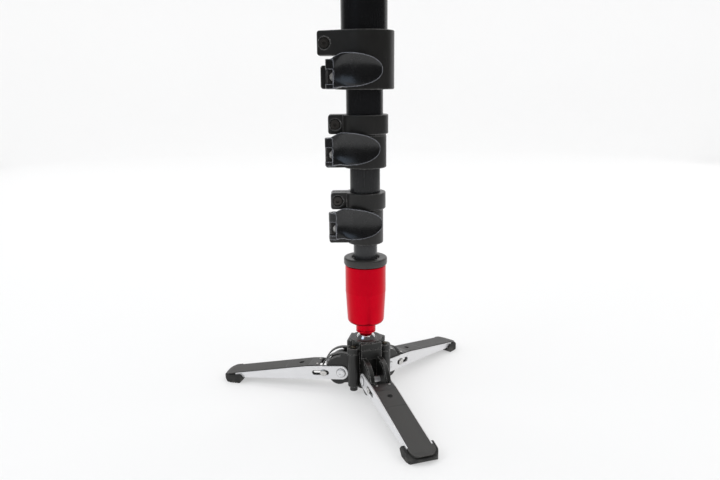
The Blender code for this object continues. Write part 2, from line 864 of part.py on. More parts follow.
def make_leg(name, azimuth, foot):
    """One folding leg with its pins, spring and shoe."""
    turn = azimuth_turn(azimuth)
    hinge_spot = circle_point(pivot_reach, azimuth, pivot_height)
    hinge = place_empty(f"leg_{name}_hinge", hinge_spot, foot, turn)
    slide = place_empty(f"leg_{name}_latch_line", (0, 0, 0), hinge)
    slide.rotation_euler = (0, latch_slope, 0)
    across = plate_outer() + cut_overrun
    across_turn = (math.pi / 2, 0, 0)
    for side, sign in (("left", 1), ("right", -1)):
        near, far = sorted((sign * plate_inner(), sign * plate_outer()))
        plate_name = f"leg_{name}_plate_{side}"
        plate = add_piece(plate_name, extruded(plate_outline(), near, far, "Y"), bright_metal, hinge)
        hole = rod(pivot_pin_radius + fit_gap, -across, across, pin_sides)
        hole_cut = add_piece(plate_name + "_hole_cut", hole, bright_metal, hinge, (0, 0, 0), across_turn)
        combine(plate, hole_cut)
        slot = extruded(slot_outline(), -across, across, "Y")
        combine(plate, add_piece(plate_name + "_slot_cut", slot, bright_metal, slide))
    make_cover(name, hinge, slide)
    make_shoe(name, hinge)
    pivot = headed_pin(pivot_pin_radius, pivot_head_radius, pivot_head_thickness, pivot_pin_radius)
    add_piece(f"leg_{name}_pivot_pin", pivot, bright_metal, hinge, (0, 0, 0), across_turn)
    latch = headed_pin(latch_radius, latch_head_radius, latch_head_thickness, latch_waist_radius)
    latch_spot = (latch_reach, 0, 0)
    add_piece(f"leg_{name}_latch_pin", latch, bright_metal, slide, latch_spot, across_turn)
    return add_spring(f"leg_{name}_latch_spring", slide)


def make_cover(name, hinge, slide):
    """Sheet cover between a leg's plates, with the stop for the latch spring under it."""
    side_view = extruded(cover_side_outline(), -shoe_half_width, shoe_half_width, "Y")
    cover = add_piece(f"leg_{name}_cover", side_view, black_satin, hinge)
    deep = pivot_height + hub_rise
    plan = extruded(cover_plan_outline(), -deep, deep)
    combine(cover, add_piece(f"leg_{name}_cover_plan_form", plan, black_satin, hinge), "INTERSECT")
    stop_face = spring_stop_reach()
    stop_end = stop_face + spring_stop_length
    slope_rise = stop_end * math.sin(latch_slope)
    stop_outline = [
        (stop_face, -spring_stop_drop),
        (stop_end, -spring_stop_drop),
        (stop_end, plate_top(stop_end) + slope_rise - cover_thickness / 2),
        (stop_face, plate_top(stop_face) + slope_rise - cover_thickness / 2),
    ]
    stop = extruded(stop_outline, -spring_stop_half_width, spring_stop_half_width, "Y")
    combine(cover, add_piece(f"leg_{name}_stop_form", stop, black_satin, slide), "UNION")


def make_shoe(name, hinge):
    """Rubber shoe round the plates' tips."""
    shape = extruded(shoe_side_outline(), -shoe_half_width, shoe_half_width, "Y")
    shoe = add_piece(f"leg_{name}_shoe", shape, black_rubber, hinge)
    deep = pivot_height + hub_rise
    plan = extruded(shoe_plan_outline(), -deep - cut_overrun, deep)
    combine(shoe, add_piece(f"leg_{name}_shoe_plan_form", plan, black_rubber, hinge), "INTERSECT")
    pocket_start = shoe_inner_reach - cut_overrun
    pocket_end = plate_tip_reach + fit_gap
    pocket_outline = box_outline(pocket_start, pocket_end, -pocket_half(), pocket_half())
    pocket = extruded(pocket_outline, -deep + shoe_floor_thickness, cut_overrun)
    combine(shoe, add_piece(f"leg_{name}_shoe_pocket_cut", pocket, black_rubber, hinge))


def pocket_half():
    """Half the width of the shoe's pocket, which takes both side plates."""
    return plate_outer() + fit_gap


def make_ball_joint(foot):
    """Seat ring, and the chrome ball whose stem carries the damping rotor, about the ball's centre."""
    seat_tilt = place_empty("ball_seat_tilt", (0, 0, ball_height), foot)
    stud_tilt = place_empty("ball_stud_tilt", (0, 0, 0), seat_tilt)
    middle = (0, 0)
    top = math.pi / 2 - seat_top_angle
    bottom = math.pi / 2 - seat_bottom_angle
    profile = arc(middle, seat_outer_radius, bottom, top)
    profile += arc(middle, seat_inner_radius, top, bottom)
    add_piece("ball_seat", turned(profile, part_sides, ring=True), pale_plastic, seat_tilt)
    stem_start = math.acos(stem_radius / ball_radius)
    rotor_bottom = cartridge_bottom + cartridge_floor + fit_gap - ball_height
    profile = [(0, -ball_radius)]
    profile += arc(middle, ball_radius, -math.pi / 2, stem_start)[1:]
    profile += [
        (stem_radius, rotor_bottom),
        (rotor_radius, rotor_bottom),
        (rotor_radius, rotor_bottom + rotor_length),
        (0, rotor_bottom + rotor_length),
    ]
    add_piece("ball_stud", turned(profile, part_sides), chrome, stud_tilt)
    return stud_tilt


def make_cartridge(column):
    """Red housing and the black cap that grips the lowest tube."""
    corner = arc(
        (cartridge_foot_radius, cartridge_bottom + cartridge_corner_height),
        cartridge_corner_height,
        -math.pi / 2,
        0,
        end_step,
    )
    squash = (cartridge_low_radius - cartridge_foot_radius) / cartridge_corner_height
    corner = [(cartridge_foot_radius + (r - cartridge_foot_radius) * squash, z) for r, z in corner]
    stem_bore = stem_radius + fit_gap
    floor = cartridge_bottom + cartridge_floor
    profile = [
        (stem_bore, neck_bottom),
        (neck_radius - cap_edge, neck_bottom),
        (neck_radius, neck_bottom + cap_edge),
        (neck_radius, neck_bottom + neck_height),
    ]
    profile += corner
    profile += [
        (cartridge_radius, cartridge_belly),
        (cartridge_radius, cartridge_top - cap_edge / 2),
        (cartridge_radius - cap_edge / 2, cartridge_top),
        (cartridge_bore_radius, cartridge_top),
        (cartridge_bore_radius, floor),
        (stem_bore, floor),
    ]
    add_piece("cartridge_body", turned(profile, tube_sides, ring=True), red_anodised, column)
    seat = cartridge_top + fit_gap
    top = seat + cap_height
    bore = tube_radii[4] + fit_gap
    sleeve = bore + cap_sleeve_wall
    well = top - cap_well_depth
    profile = [
        (bore, seat - cap_sleeve_length),
        (sleeve, seat - cap_sleeve_length),
        (sleeve, seat),
        (cap_radius - cap_edge / 2, seat),
        (cap_radius, seat + cap_edge / 2),
        (cap_radius, top - cap_edge),
        (cap_radius - cap_edge / 2, top - cap_edge / 3),
        (cap_radius - cap_edge, top),
        (cap_well_radius, top),
        (cap_well_radius - cap_edge / 2, well),
        (bore, well),
    ]
    add_piece("cartridge_cap", turned(profile, tube_sides, ring=True), black_cast, column)


def clamp_split_height(number):
    """Top of the lower band, where the slit starts."""
    return clamp_bottoms[number] + lower_band_heights[number]


def clamp_top(number):
    """Top of the clamp's upper band."""
    return clamp_split_height(number) + band_slit + upper_band_heights[number]


def tube_bottom(number):
    """Lower end of a tube: in the cartridge's cap, or in its clamp's upper band."""
    if number == len(tube_radii):
        return cartridge_top + fit_gap - cap_sleeve_length + cap_edge
    return clamp_split_height(number) + band_slit + fit_gap


def make_tube(number, group):
    """One column tube, with the guide bush on its upper end."""
    outer = tube_radii[number]
    top = tube_tops[number]
    shape = tube(outer, outer - tube_wall, tube_bottom(number), top, tube_sides)
    add_piece(f"tube_{number}", shape, black_tube, group)
    if number > 1:
        guide = tube_radii[number - 1] - tube_wall - fit_gap
        ring = tube(guide, outer + fit_gap, top - bush_length, top, tube_sides)
        add_piece(f"tube_{number}_bush", ring, grey_plastic, group)


def ear_band_outline(radius, reach, half_depth, tangent):
    """Plan of a clamp band: a round collar with an ear towards -X."""
    inset = ear_corner
    if tangent:
        corner_x, corner_y = reach - inset, half_depth
        far = math.hypot(corner_x, corner_y)
        meet = math.pi - math.atan2(corner_y, corner_x) - math.acos(radius / far)
    else:
        meet = math.pi - math.asin(half_depth / radius)
    outline = arc((0, 0), radius, -meet, meet)
    outline += [
        (-reach + inset, half_depth),
        (-reach, half_depth - inset),
        (-reach, -half_depth + inset),
        (-reach + inset, -half_depth),
    ]
    return outline


def lever_pin_spot(number):
    """Where a lever's pin stands, so that the lever just clears the upper band."""
    centre_y = lever_inner_radius - upper_band_radii[number] - lever_clearance
    return (
        -lever_pin_reaches[number],
        centre_y - lever_curve_back,
        clamp_bottoms[number] + lever_rises[number],
    )


def lower_ear_outline(number):
    """Plan of the two ears that the tension bolt pulls together, from the clamp's middle outwards."""
    pin_x, pin_y, _ = lever_pin_spot(number)
    front = pin_y + lever_cam_radius + fit_gap
    back = ear_half_depth
    front_reach = -pin_x + front_ear_overhang
    rear_reach = -pin_x + rear_ear_overhangs[number]
    outline = [(0, front), (0, back), (-rear_reach + ear_corner, back), (-rear_reach, back - ear_corner)]
    if rear_reach > front_reach:
        outline += [(-rear_reach, 0), (-front_reach, 0)]
    outline += [(-front_reach, front + cap_edge), (-front_reach + cap_edge, front)]
    return outline


def shape_clamp(body, tool, operation="DIFFERENCE"):
    """Join or cut on a clamp's body, whose many near faces need the manifold solver."""
    combine(body, tool, operation, "MANIFOLD")


def make_clamp(number, group):
    """Clamp body, liner, screws, bolt and lever on one tube's lower end."""
    tag = clamp_names[number]
    low = clamp_bottoms[number]
    split = clamp_split_height(number)
    top = clamp_top(number)
    upper_radius = upper_band_radii[number]
    lower_radius = lower_band_radii[number]
    upper_bore = tube_radii[number] + fit_gap
    inner_tube = tube_radii[number + 1]
    liner_inner = inner_tube + fit_gap
    liner_outer = liner_inner + liner_thickness
    lower_bore = liner_outer + fit_gap
    ear_reach = ear_reaches[number]
    pin = lever_pin_spot(number)

    upper_outline = ear_band_outline(upper_radius, ear_reach, ear_half_depth, number == 1)
    upper = extruded(upper_outline, split + band_slit, top)
    body = add_piece(f"clamp_{tag}_body", upper, black_cast, group)
    soften(body, clamp_edge)
    ear_top = pin[2] + lever_root_height / 2 - lower_ear_drop
    ears = extruded(lower_ear_outline(number), low + clamp_edge / 2, ear_top)
    shape_clamp(body, add_piece(f"clamp_{tag}_ears_form", ears, black_cast, group), "UNION")
    lower = rod(lower_radius, low, split, tube_sides)
    lower_form = add_piece(f"clamp_{tag}_lower_form", lower, black_cast, group)
    soften(lower_form, clamp_edge)
    shape_clamp(body, lower_form, "UNION")
    joint_radius = min(lower_radius, upper_radius) - band_groove
    joint = rod(joint_radius, low + clamp_edge * 2, top - clamp_edge * 2, tube_sides)
    shape_clamp(body, add_piece(f"clamp_{tag}_joint_form", joint, black_cast, group), "UNION")
    upper_hole = rod(upper_bore, split + band_slit / 2, top + cut_overrun, tube_sides)
    shape_clamp(body, add_piece(f"clamp_{tag}_upper_bore_cut", upper_hole, black_cast, group))
    lower_hole = rod(lower_bore, low - cut_overrun, split + band_slit / 2 + cut_overrun / 2, tube_sides)
    shape_clamp(body, add_piece(f"clamp_{tag}_lower_bore_cut", lower_hole, black_cast, group))
    split_outline = box_outline(
        -ear_reach - cut_overrun * 2, -inner_tube, -ear_split / 2, ear_split / 2
    )
    gap = extruded(split_outline, low - cut_overrun, top + cut_overrun)
    shape_clamp(body, add_piece(f"clamp_{tag}_split_cut", gap, black_cast, group))
    slit_outline = box_outline(-ear_reach - cut_overrun * 2, band_slit_reach, -ear_reach, ear_reach)
    slit = extruded(slit_outline, split + fit_gap, split + band_slit - fit_gap)
    shape_clamp(body, add_piece(f"clamp_{tag}_slit_cut", slit, black_cast, group))

    to_back = (-math.pi / 2, 0, 0)
    screw_x = -ear_reach + ear_screw_inset
    screw_z = (split + band_slit + top) / 2
    screw_spot = (screw_x, -ear_half_depth, screw_z)
    seat_depth = ear_screw_head_depth + fit_gap
    shank_hole = rod(ear_screw_radius + fit_gap, 0, ear_half_depth * 2 + cut_overrun, pin_sides)
    shank_cut = add_piece(f"clamp_{tag}_screw_cut", shank_hole, black_cast, group, screw_spot, to_back)
    shape_clamp(body, shank_cut)
    head_hole = rod(ear_screw_head_radius + ear_seat_margin, -ear_seat_rise, seat_depth, part_sides)
    head_cut = add_piece(f"clamp_{tag}_head_cut", head_hole, black_cast, group, screw_spot, to_back)
    shape_clamp(body, head_cut)
    screw = turned(
        [
            (0, fit_gap),
            (ear_screw_head_radius - fit_gap, fit_gap),
            (ear_screw_head_radius, fit_gap * 2),
            (ear_screw_head_radius, ear_screw_head_depth),
            (ear_screw_radius, ear_screw_head_depth),
            (ear_screw_radius, ear_half_depth * 2 - fit_gap),
            (0, ear_half_depth * 2 - fit_gap),
        ],
        pin_sides,
    )
    screw_piece = add_piece(f"clamp_{tag}_screw", screw, dark_steel, group, screw_spot, to_back)
    socket = rod(ear_screw_socket_radius, -cut_overrun, ear_screw_socket_depth, hex_sides)
    combine(screw_piece, add_piece(f"clamp_{tag}_socket_cut", socket, dark_steel, group, screw_spot, to_back))

    bolt_end = ear_half_depth - pin[1]
    bolt_spot = (pin[0], pin[1], pin[2] - eye_drop)
    bolt_hole = rod(bolt_radius + fit_gap, 0, bolt_end + cut_overrun, pin_sides)
    bolt_cut = add_piece(f"clamp_{tag}_bolt_cut", bolt_hole, black_cast, group, bolt_spot, to_back)
    shape_clamp(body, bolt_cut)
    eye_inner = lever_pin_radius + fit_gap
    eye = tube(eye_outer_radius, eye_inner, -eye_height / 2, eye_height / 2, pin_sides)
    bolt = add_piece(f"clamp_{tag}_bolt", eye, dark_steel, group, bolt_spot)
    nut_start = bolt_end + fit_gap
    shank_start = (eye_outer_radius + eye_inner) / 2
    shank = rod(bolt_radius, shank_start, nut_start + bolt_nut_length, pin_sides)
    shank_form = add_piece(f"clamp_{tag}_bolt_shank_form", shank, dark_steel, group, bolt_spot, to_back)
    combine(bolt, shank_form, "UNION")
    nut = rod(bolt_nut_radius, nut_start, nut_start + bolt_nut_length * bolt_nut_share, hex_sides)
    nut_form = add_piece(f"clamp_{tag}_bolt_nut_form", nut, dark_steel, group, bolt_spot, to_back)
    combine(bolt, nut_form, "UNION")

    liner = tube(liner_outer, liner_inner, low, split - fit_gap, tube_sides)
    add_piece(f"clamp_{tag}_liner", liner, grey_plastic, group)
    make_lever(tag, pin, group)


def lever_section(share):
    """One cross-section of the lever, at a share of the way from its root to its tip."""
    angle = lever_root_angle + (lever_tip_angle - lever_root_angle) * share
    root = max(0.0, 1 - share / lever_root_blend_share)
    root_half = lever_root_height / 2
    if share < lever_widest_share:
        swell = math.sin(math.pi / 2 * share / lever_widest_share)
        half_height = root_half + (lever_paddle_half_height - root_half) * swell
    else:
        beyond = (share - lever_widest_share) / (lever_end_share - lever_widest_share)
        half_height = lever_paddle_half_height * math.sqrt(1 - beyond ** 2)
    rise = lever_paddle_rise * (1 - root)
    inner = lever_inner_radius + lever_root_lift * root
    thickness = lever_thickness * (1 - root) + lever_root_thickness * root
    toward_tip = max(0.0, (share - lever_thinning_share) / (1 - lever_thinning_share))
    thickness *= 1 - (1 - lever_tip_share) * toward_tip ** 2
    dish_along = (share - lever_dish_start_share) / lever_dish_length_share
    dish = lever_dish_share * math.sin(math.pi * min(1.0, max(0.0, dish_along)))
    half = list(lever_section_shares)
    ring = half + [(-a, b) for a, b in reversed(half[1:-1])]
    points = []
    for height_share, depth_share in ring:
        depth = depth_share
        if depth_share > lever_rim_share:
            depth -= dish * max(0.0, 1 - abs(height_share) / lever_dish_width_share)
        radius = inner + thickness * depth
        points.append(Vector((
            lever_curve_across + radius * math.sin(angle),
            lever_curve_back - radius * math.cos(angle),
            rise + half_height * height_share,
        )))
    return points


def lever_shape():
    """The lever's arm and dished paddle, lofted from root to tip."""
    shape = bmesh.new()
    rings = []
    for index in range(lever_stations):
        share = math.sin(math.pi / 2 * index / (lever_stations - 1))
        rings.append([shape.verts.new(point) for point in lever_section(share)])
    skin(shape, rings)
    return shape


def eye_slot_outline():
    """Plan of the lever's slot round the bolt's eye: a window in front, open at its left and back."""
    side = eye_outer_radius + fit_gap
    edge_angle = math.acos(eye_window_reach / side)
    outline = [(-side * 2, side * 2), (-side * 2, -side * 2), (eye_window_reach, -side * 2)]
    outline += arc((0, 0), side, -edge_angle, 0)
    outline.append((side, side * 2))
    return outline


def make_lever(tag, pin, group):
    """Cam lever on its upright pin."""
    hinge = place_empty(f"lever_{tag}_hinge", pin, group)
    lever = add_piece(f"lever_{tag}", lever_shape(), black_gloss, hinge)
    half = lever_root_height / 2
    cam = rod(lever_cam_radius, -half, half, part_sides)
    cam_form = add_piece(f"lever_{tag}_cam_form", cam, black_gloss, hinge)
    combine(lever, cam_form, "UNION")
    slot_low = -eye_drop - eye_slot_height / 2
    slot = extruded(eye_slot_outline(), slot_low, slot_low + eye_slot_height)
    combine(lever, add_piece(f"lever_{tag}_eye_cut", slot, black_gloss, hinge))
    hole = rod(lever_pin_radius + fit_gap, -half - cut_overrun, half + cut_overrun, pin_sides)
    combine(lever, add_piece(f"lever_{tag}_hole_cut", hole, black_gloss, hinge))
    end = half - fit_gap
    pin_shape = rod(lever_pin_radius, -end, end, pin_sides)
    add_piece(f"lever_{tag}_pin", pin_shape, bright_metal, hinge)


def make_top(section):
    """Grip, cap, camera plate, pad and camera screw."""
    inner = tube_radii[1] + fit_gap
    grip = turned(
        [
            (inner, grip_bottom),
            (grip_radius - grip_edge / 2, grip_bottom),
            (grip_radius, grip_bottom + grip_edge),
            (grip_radius, grip_top - grip_edge),
            (grip_radius - grip_edge / 2, grip_top),
            (inner, grip_top),
        ],
        tube_sides,
        ring=True,
    )
    add_piece("grip", grip, black_rubber, section)
    plug_radius = tube_radii[1] - tube_wall - fit_gap
    tube_end = tube_tops[1]
    hole = camera_screw_root + fit_gap
    cap = turned(
        [
            (0, tube_end - top_cap_plug_length),
            (plug_radius, tube_end - top_cap_plug_length),
            (plug_radius, tube_end + fit_gap),
            (inner, tube_end + fit_gap),
            (inner, top_cap_bottom),
            (top_cap_radius, top_cap_bottom),
            (top_cap_radius, top_cap_shoulder),
            (top_cap_neck_radius, top_cap_top - camera_plate_edge),
            (top_cap_neck_radius, top_cap_top),
            (hole, top_cap_top),
            (hole, tube_end - top_cap_plug_length / 2),
            (0, tube_end - top_cap_plug_length / 2),
        ],
        tube_sides,
    )
    add_piece("top_cap", cap, black_cast, section)
    plate_low = top_cap_top + fit_gap
    plate_high = plate_low + camera_plate_thickness
    screw_bore = camera_screw_radius + fit_gap
    plate = turned(
        [
            (screw_bore, plate_low),
            (camera_plate_radius - camera_plate_edge, plate_low),
            (camera_plate_radius, plate_low + camera_plate_edge),
            (camera_plate_radius, plate_high - camera_plate_edge),
            (camera_plate_radius - camera_plate_edge, plate_high),
            (screw_bore, plate_high),
        ],
        tube_sides,
        ring=True,
    )
    add_piece("camera_plate", plate, black_cast, section)
    pad_low = plate_high + fit_gap
    pad_radius = camera_plate_radius - camera_plate_edge - pad_margin
    pad = tube(pad_radius, camera_screw_hole_radius, pad_low, pad_low + pad_thickness, tube_sides)
    add_piece("camera_plate_pad", pad, black_rubber, section)
    screw_bottom = tube_end - top_cap_plug_length / 2 + fit_gap
    screw_top = pad_low + pad_thickness + camera_screw_reach
    profile = [(0, screw_bottom), (camera_screw_root, screw_bottom)]
    profile += [(camera_screw_root, plate_low + fit_gap), (camera_screw_radius, plate_low + fit_gap)]
    turns = int((screw_top - pad_low) / camera_screw_pitch)
    for index in range(turns):
        base = pad_low + camera_screw_pitch * index
        profile.append((camera_screw_radius, base))
        profile.append((camera_screw_root, base + camera_screw_pitch / 2))
    profile.append((camera_screw_radius, pad_low + camera_screw_pitch * turns))
    profile.append((camera_screw_root, screw_top))
    profile.append((0, screw_top))
    add_piece("camera_screw", turned(profile, pin_sides), bright_metal, section)


def main():
    """Build the foot, then the column from the bottom up."""
    start_empty()
    foot = place_empty("foot", (0, 0, 0))
    make_hub(foot)
    make_retainer(foot)
    for name, azimuth in leg_azimuths():
        spring_points = make_leg(name, azimuth, foot)
    print_spring_gap(spring_points)
    stud_tilt = make_ball_joint(foot)
    section = place_empty("section_4", (0, 0, -ball_height), stud_tilt)
    make_cartridge(section)
    make_tube(4, section)
    for number in (3, 2, 1):
        section = place_empty(f"section_{number}", (0, 0, 0), section)
        make_tube(number, section)
        make_clamp(number, section)
    make_top(section)
    bpy.context.view_layer.update()


if __name__ == "__main__":
    main()
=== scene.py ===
"""Fine forms, finishes and a pale studio for a telescoping monopod on a folding foot.

Lengths are in metres, in the part's own frame: the origin is the middle of the hub's flat underside,
+Z is up the column and -Y is the side that the clamp levers face.
"""

import json
import math

import bmesh
import bpy
from bpy.props import FloatProperty, FloatVectorProperty, IntProperty, PointerProperty
from mathutils import Matrix, Vector


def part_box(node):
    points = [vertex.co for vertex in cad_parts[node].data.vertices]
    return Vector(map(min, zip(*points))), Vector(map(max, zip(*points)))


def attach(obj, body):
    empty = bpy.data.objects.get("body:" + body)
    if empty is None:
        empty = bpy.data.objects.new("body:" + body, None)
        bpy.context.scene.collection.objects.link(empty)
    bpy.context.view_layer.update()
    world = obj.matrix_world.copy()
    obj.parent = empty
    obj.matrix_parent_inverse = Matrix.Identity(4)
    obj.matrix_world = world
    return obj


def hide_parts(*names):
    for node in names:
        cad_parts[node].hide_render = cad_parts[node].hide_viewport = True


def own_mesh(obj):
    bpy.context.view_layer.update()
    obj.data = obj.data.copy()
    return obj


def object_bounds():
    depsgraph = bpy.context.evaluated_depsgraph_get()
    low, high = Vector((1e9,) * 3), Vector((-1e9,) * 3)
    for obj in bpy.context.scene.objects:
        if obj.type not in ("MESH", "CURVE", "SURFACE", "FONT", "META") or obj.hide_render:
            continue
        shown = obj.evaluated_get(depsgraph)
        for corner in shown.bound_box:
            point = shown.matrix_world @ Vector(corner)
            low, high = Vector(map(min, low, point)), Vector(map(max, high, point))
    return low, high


bl_info = {
    "name": "Folding-foot monopod",
    "version": (1, 0, 0),
    "blender": (4, 5, 0),
    "location": "3D View > Sidebar > Monopod",
    "description": "Builds the fine forms, finishes and studio of a telescoping monopod",
    "category": "Object",
}

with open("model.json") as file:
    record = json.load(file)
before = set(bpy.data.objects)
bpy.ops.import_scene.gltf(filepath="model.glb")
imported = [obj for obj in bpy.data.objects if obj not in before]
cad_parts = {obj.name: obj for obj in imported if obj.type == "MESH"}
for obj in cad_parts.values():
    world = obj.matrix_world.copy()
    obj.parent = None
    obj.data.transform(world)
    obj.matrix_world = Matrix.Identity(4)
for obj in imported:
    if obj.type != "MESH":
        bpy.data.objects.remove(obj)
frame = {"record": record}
cad_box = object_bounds()

# How finely forms are divided
round_sides = 96
small_sides = 40
fine_step = math.radians(4)
corner_step = math.radians(18)
blunt_angle = math.radians(158)
smooth_angle = math.radians(33)
weld_distance = 0.0000001
rim_turns = (90, 60, 30, 0)
wire_sides = 12
soft_segments = 3
corner_room = 2.1
least_spread = 0.35

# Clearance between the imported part's pieces, and how far a cutter runs past a face
fit_gap = 0.0003
cut_overrun = 0.0020

# Leg directions, from -Y towards +X
leg_turns = {"front": math.radians(17.9), "right": math.radians(137.9), "left": math.radians(257.9)}
tube_of_clamp = {"a": 1, "b": 2, "c": 3}


def node_radius(node):
    """Half the width of a round CAD node."""
    low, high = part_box(node)
    return (high.x - low.x) / 2


def node_bottom(node):
    """Height of a CAD node's underside."""
    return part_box(node)[0].z


def node_top(node):
    """Height of a CAD node's upper end."""
    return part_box(node)[1].z


def length_property(name, description, default):
    """A length that a user may change."""
    return FloatProperty(
        name=name, description=description, default=default, min=0.0, unit="LENGTH", precision=5
    )


def share_property(name, description, default):
    """A share of another size, from none to all of it."""
    return FloatProperty(
        name=name, description=description, default=default, min=0.0, max=1.0, subtype="FACTOR"
    )


def angle_property(name, description, degrees):
    """An angle that a user may change."""
    return FloatProperty(name=name, description=description, default=math.radians(degrees), subtype="ANGLE")


def colour_property(name, description, default):
    """A linear colour that a user may change."""
    return FloatVectorProperty(
        name=name, description=description, default=default, size=3, min=0.0, max=1.0, subtype="COLOR"
    )


class HubSizes(bpy.types.PropertyGroup):
    """Sizes of the cast hub."""

    pivot_reach: length_property("Pivot reach", "From the column's axis to a leg's pivot", 0.0205)
    pivot_height: length_property("Pivot height", "From the hub's underside to a leg's pivot", 0.0130)
    cheek_gap: length_property("Cheek gap", "Between the two cheeks of a leg", 0.0100)
    cheek_thickness: length_property("Cheek thickness", "Of one cheek", 0.0040)
    cheek_radius: length_property("Cheek radius", "Of a cheek's round rim about the pivot", 0.0183)
    post_radius: length_property("Post radius", "Of a post between two legs", 0.0050)
    post_circle: length_property("Post circle", "From the column's axis to a post's", 0.0165)
    edge: length_property("Edge rounding", "Of the casting's edges", 0.0004)


class LegSizes(bpy.types.PropertyGroup):
    """Sizes of a folding leg."""

    plate_thickness: length_property("Plate thickness", "Of a bright side plate", 0.0012)
    plate_end_radius: length_property("Plate end radius", "Of a plate's round end at the pivot", 0.00625)
    latch_reach: length_property("Latch reach", "From the pivot to the latch pin", 0.0160)
    latch_radius: length_property("Latch radius", "Of the latch pin", 0.0020)
    latch_slope: angle_property("Latch slope", "Of the latch slot to the level", 4)
    cover_hole_radius: length_property("Cover hole radius", "Of the hole near the cover's inner end", 0.0023)
    cover_hole_reach: length_property("Cover hole reach", "From the pivot to the cover's hole", 0.0385)
    tread_depth: length_property("Tread depth", "Of the grooves under a shoe", 0.0005)
    shoe_edge: length_property("Shoe edge", "Rounding of a shoe's edges", 0.0009)


class ColumnSizes(bpy.types.PropertyGroup):
    """Sizes of the tubes, cartridge and ball."""

    tube_wall: length_property("Tube wall", "Thickness of every tube", 0.0013)
    tube_edge: length_property("Tube edge", "Rounding of a tube's ends", 0.0003)
    ball_height: length_property("Ball height", "From the hub's underside to the ball's centre", 0.0415)
    ball_radius: length_property("Ball radius", "Of the chrome ball", 0.0090)
    stem_radius: length_property("Stem radius", "Of the ball's stem", 0.0040)
    cartridge_edge: length_property("Cartridge edge", "Rounding of the red housing's upper edge", 0.0006)
    cap_edge: length_property("Cap edge", "Rounding of the black cap's edges", 0.0016)


class ClampSizes(bpy.types.PropertyGroup):
    """Sizes of the clamps and levers."""

    edge: length_property("Band edge", "Rounding of a band's rims", 0.0008)
    slit: length_property("Slit", "Between the upper and the lower band", 0.0012)
    ear_half_depth: length_property("Ear half depth", "Half of an ear's depth", 0.0078)
    ear_corner: length_property("Ear corner", "Rounding of an ear's corners", 0.0026)
    screw_radius: length_property("Screw head radius", "Of the socket-head screw", 0.0038)
    lever_thickness: length_property("Lever thickness", "Of the paddle at its rim", 0.0052)
    paddle_half_height: length_property("Paddle half height", "Half of the paddle's height", 0.0132)
    dish_share: share_property("Dish depth", "Of the hollow in a paddle, as a share of its thickness", 0.50)


class TopSizes(bpy.types.PropertyGroup):
    """Sizes of the grip and camera plate."""

    grip_groove: length_property("Grip groove", "Depth of the grip's rings", 0.0005)
    grip_rings: IntProperty(
        name="Grip rings", description="Number of rings round the grip", default=30, min=1
    )
    knurl_depth: length_property("Knurl depth", "Of the camera plate's rim", 0.0004)
    thread_pitch: length_property("Thread pitch", "Of the camera screw", 0.0016)
    thread_depth: length_property("Thread depth", "Of the camera screw", 0.0007)


class FinishColours(bpy.types.PropertyGroup):
    """Colours of the finishes, in linear light."""

    tube: colour_property("Tube", "Black anodised tubes", (0.0030, 0.0031, 0.0037))
    thin_tube: colour_property("Thin tube", "The thinnest tube, a little greyer", (0.024, 0.025, 0.027))
    casting: colour_property("Casting", "Black clamps and cap", (0.0080, 0.0076, 0.0070))
    hub: colour_property("Hub", "Black hub and its retainer", (0.0085, 0.0086, 0.0076))
    lever: colour_property("Lever", "Gloss black levers", (0.0035, 0.0036, 0.0040))
    cover: colour_property("Cover", "Dark leg covers", (0.029, 0.028, 0.026))
    rubber: colour_property("Rubber", "Shoes, grip and pad", (0.017, 0.017, 0.0165))
    cartridge: colour_property("Cartridge", "Red anodised housing", (0.66, 0.0012, 0.0150))
    plate: colour_property("Plate", "Bright side plates", (0.80, 0.80, 0.81))
    steel: colour_property("Steel", "Bright pins, bolts and springs", (0.66, 0.65, 0.63))
    screw: colour_property("Screw", "Dark screws and bolts", (0.066, 0.061, 0.056))
    hub_screw: colour_property("Hub screw", "Screws on the hub's posts", (0.11, 0.105, 0.08))
    chrome: colour_property("Chrome", "Ball and stem", (0.86, 0.86, 0.87))
    bearing: colour_property("Bearing", "Pale seat of the ball", (0.62, 0.61, 0.58))
    guide: colour_property("Guide", "Grey liners and bushes", (0.10, 0.10, 0.10))
    floor: colour_property("Floor", "Studio floor and backdrop", (0.86, 0.86, 0.86))


# Shader values and materials

noise_roughness = 0.55
bevel_samples = 4
edge_start = 0.995
edge_full = 0.90
floor_glow = 0.45
white = (1.0, 1.0, 1.0, 1.0)


class Value:
    """A shader socket. Arithmetic on it adds Math nodes."""

    def __init__(self, paint, socket):
        self.paint = paint
        self.socket = socket

    def math(self, operation, other):
        """This value and another through one Math node."""
        return self.paint.node("ShaderNodeMath", {"operation": operation}, {0: self, 1: other})

    def reflected(self, operation, other):
        """A plain number first, this value second."""
        return self.paint.node("ShaderNodeMath", {"operation": operation}, {0: other, 1: self})

    def __add__(self, other):
        return self.math("ADD", other)

    __radd__ = __add__

    def __sub__(self, other):
        return self.math("SUBTRACT", other)

    def __rsub__(self, other):
        return self.reflected("SUBTRACT", other)

    def __mul__(self, other):
        return self.math("MULTIPLY", other)

    __rmul__ = __mul__


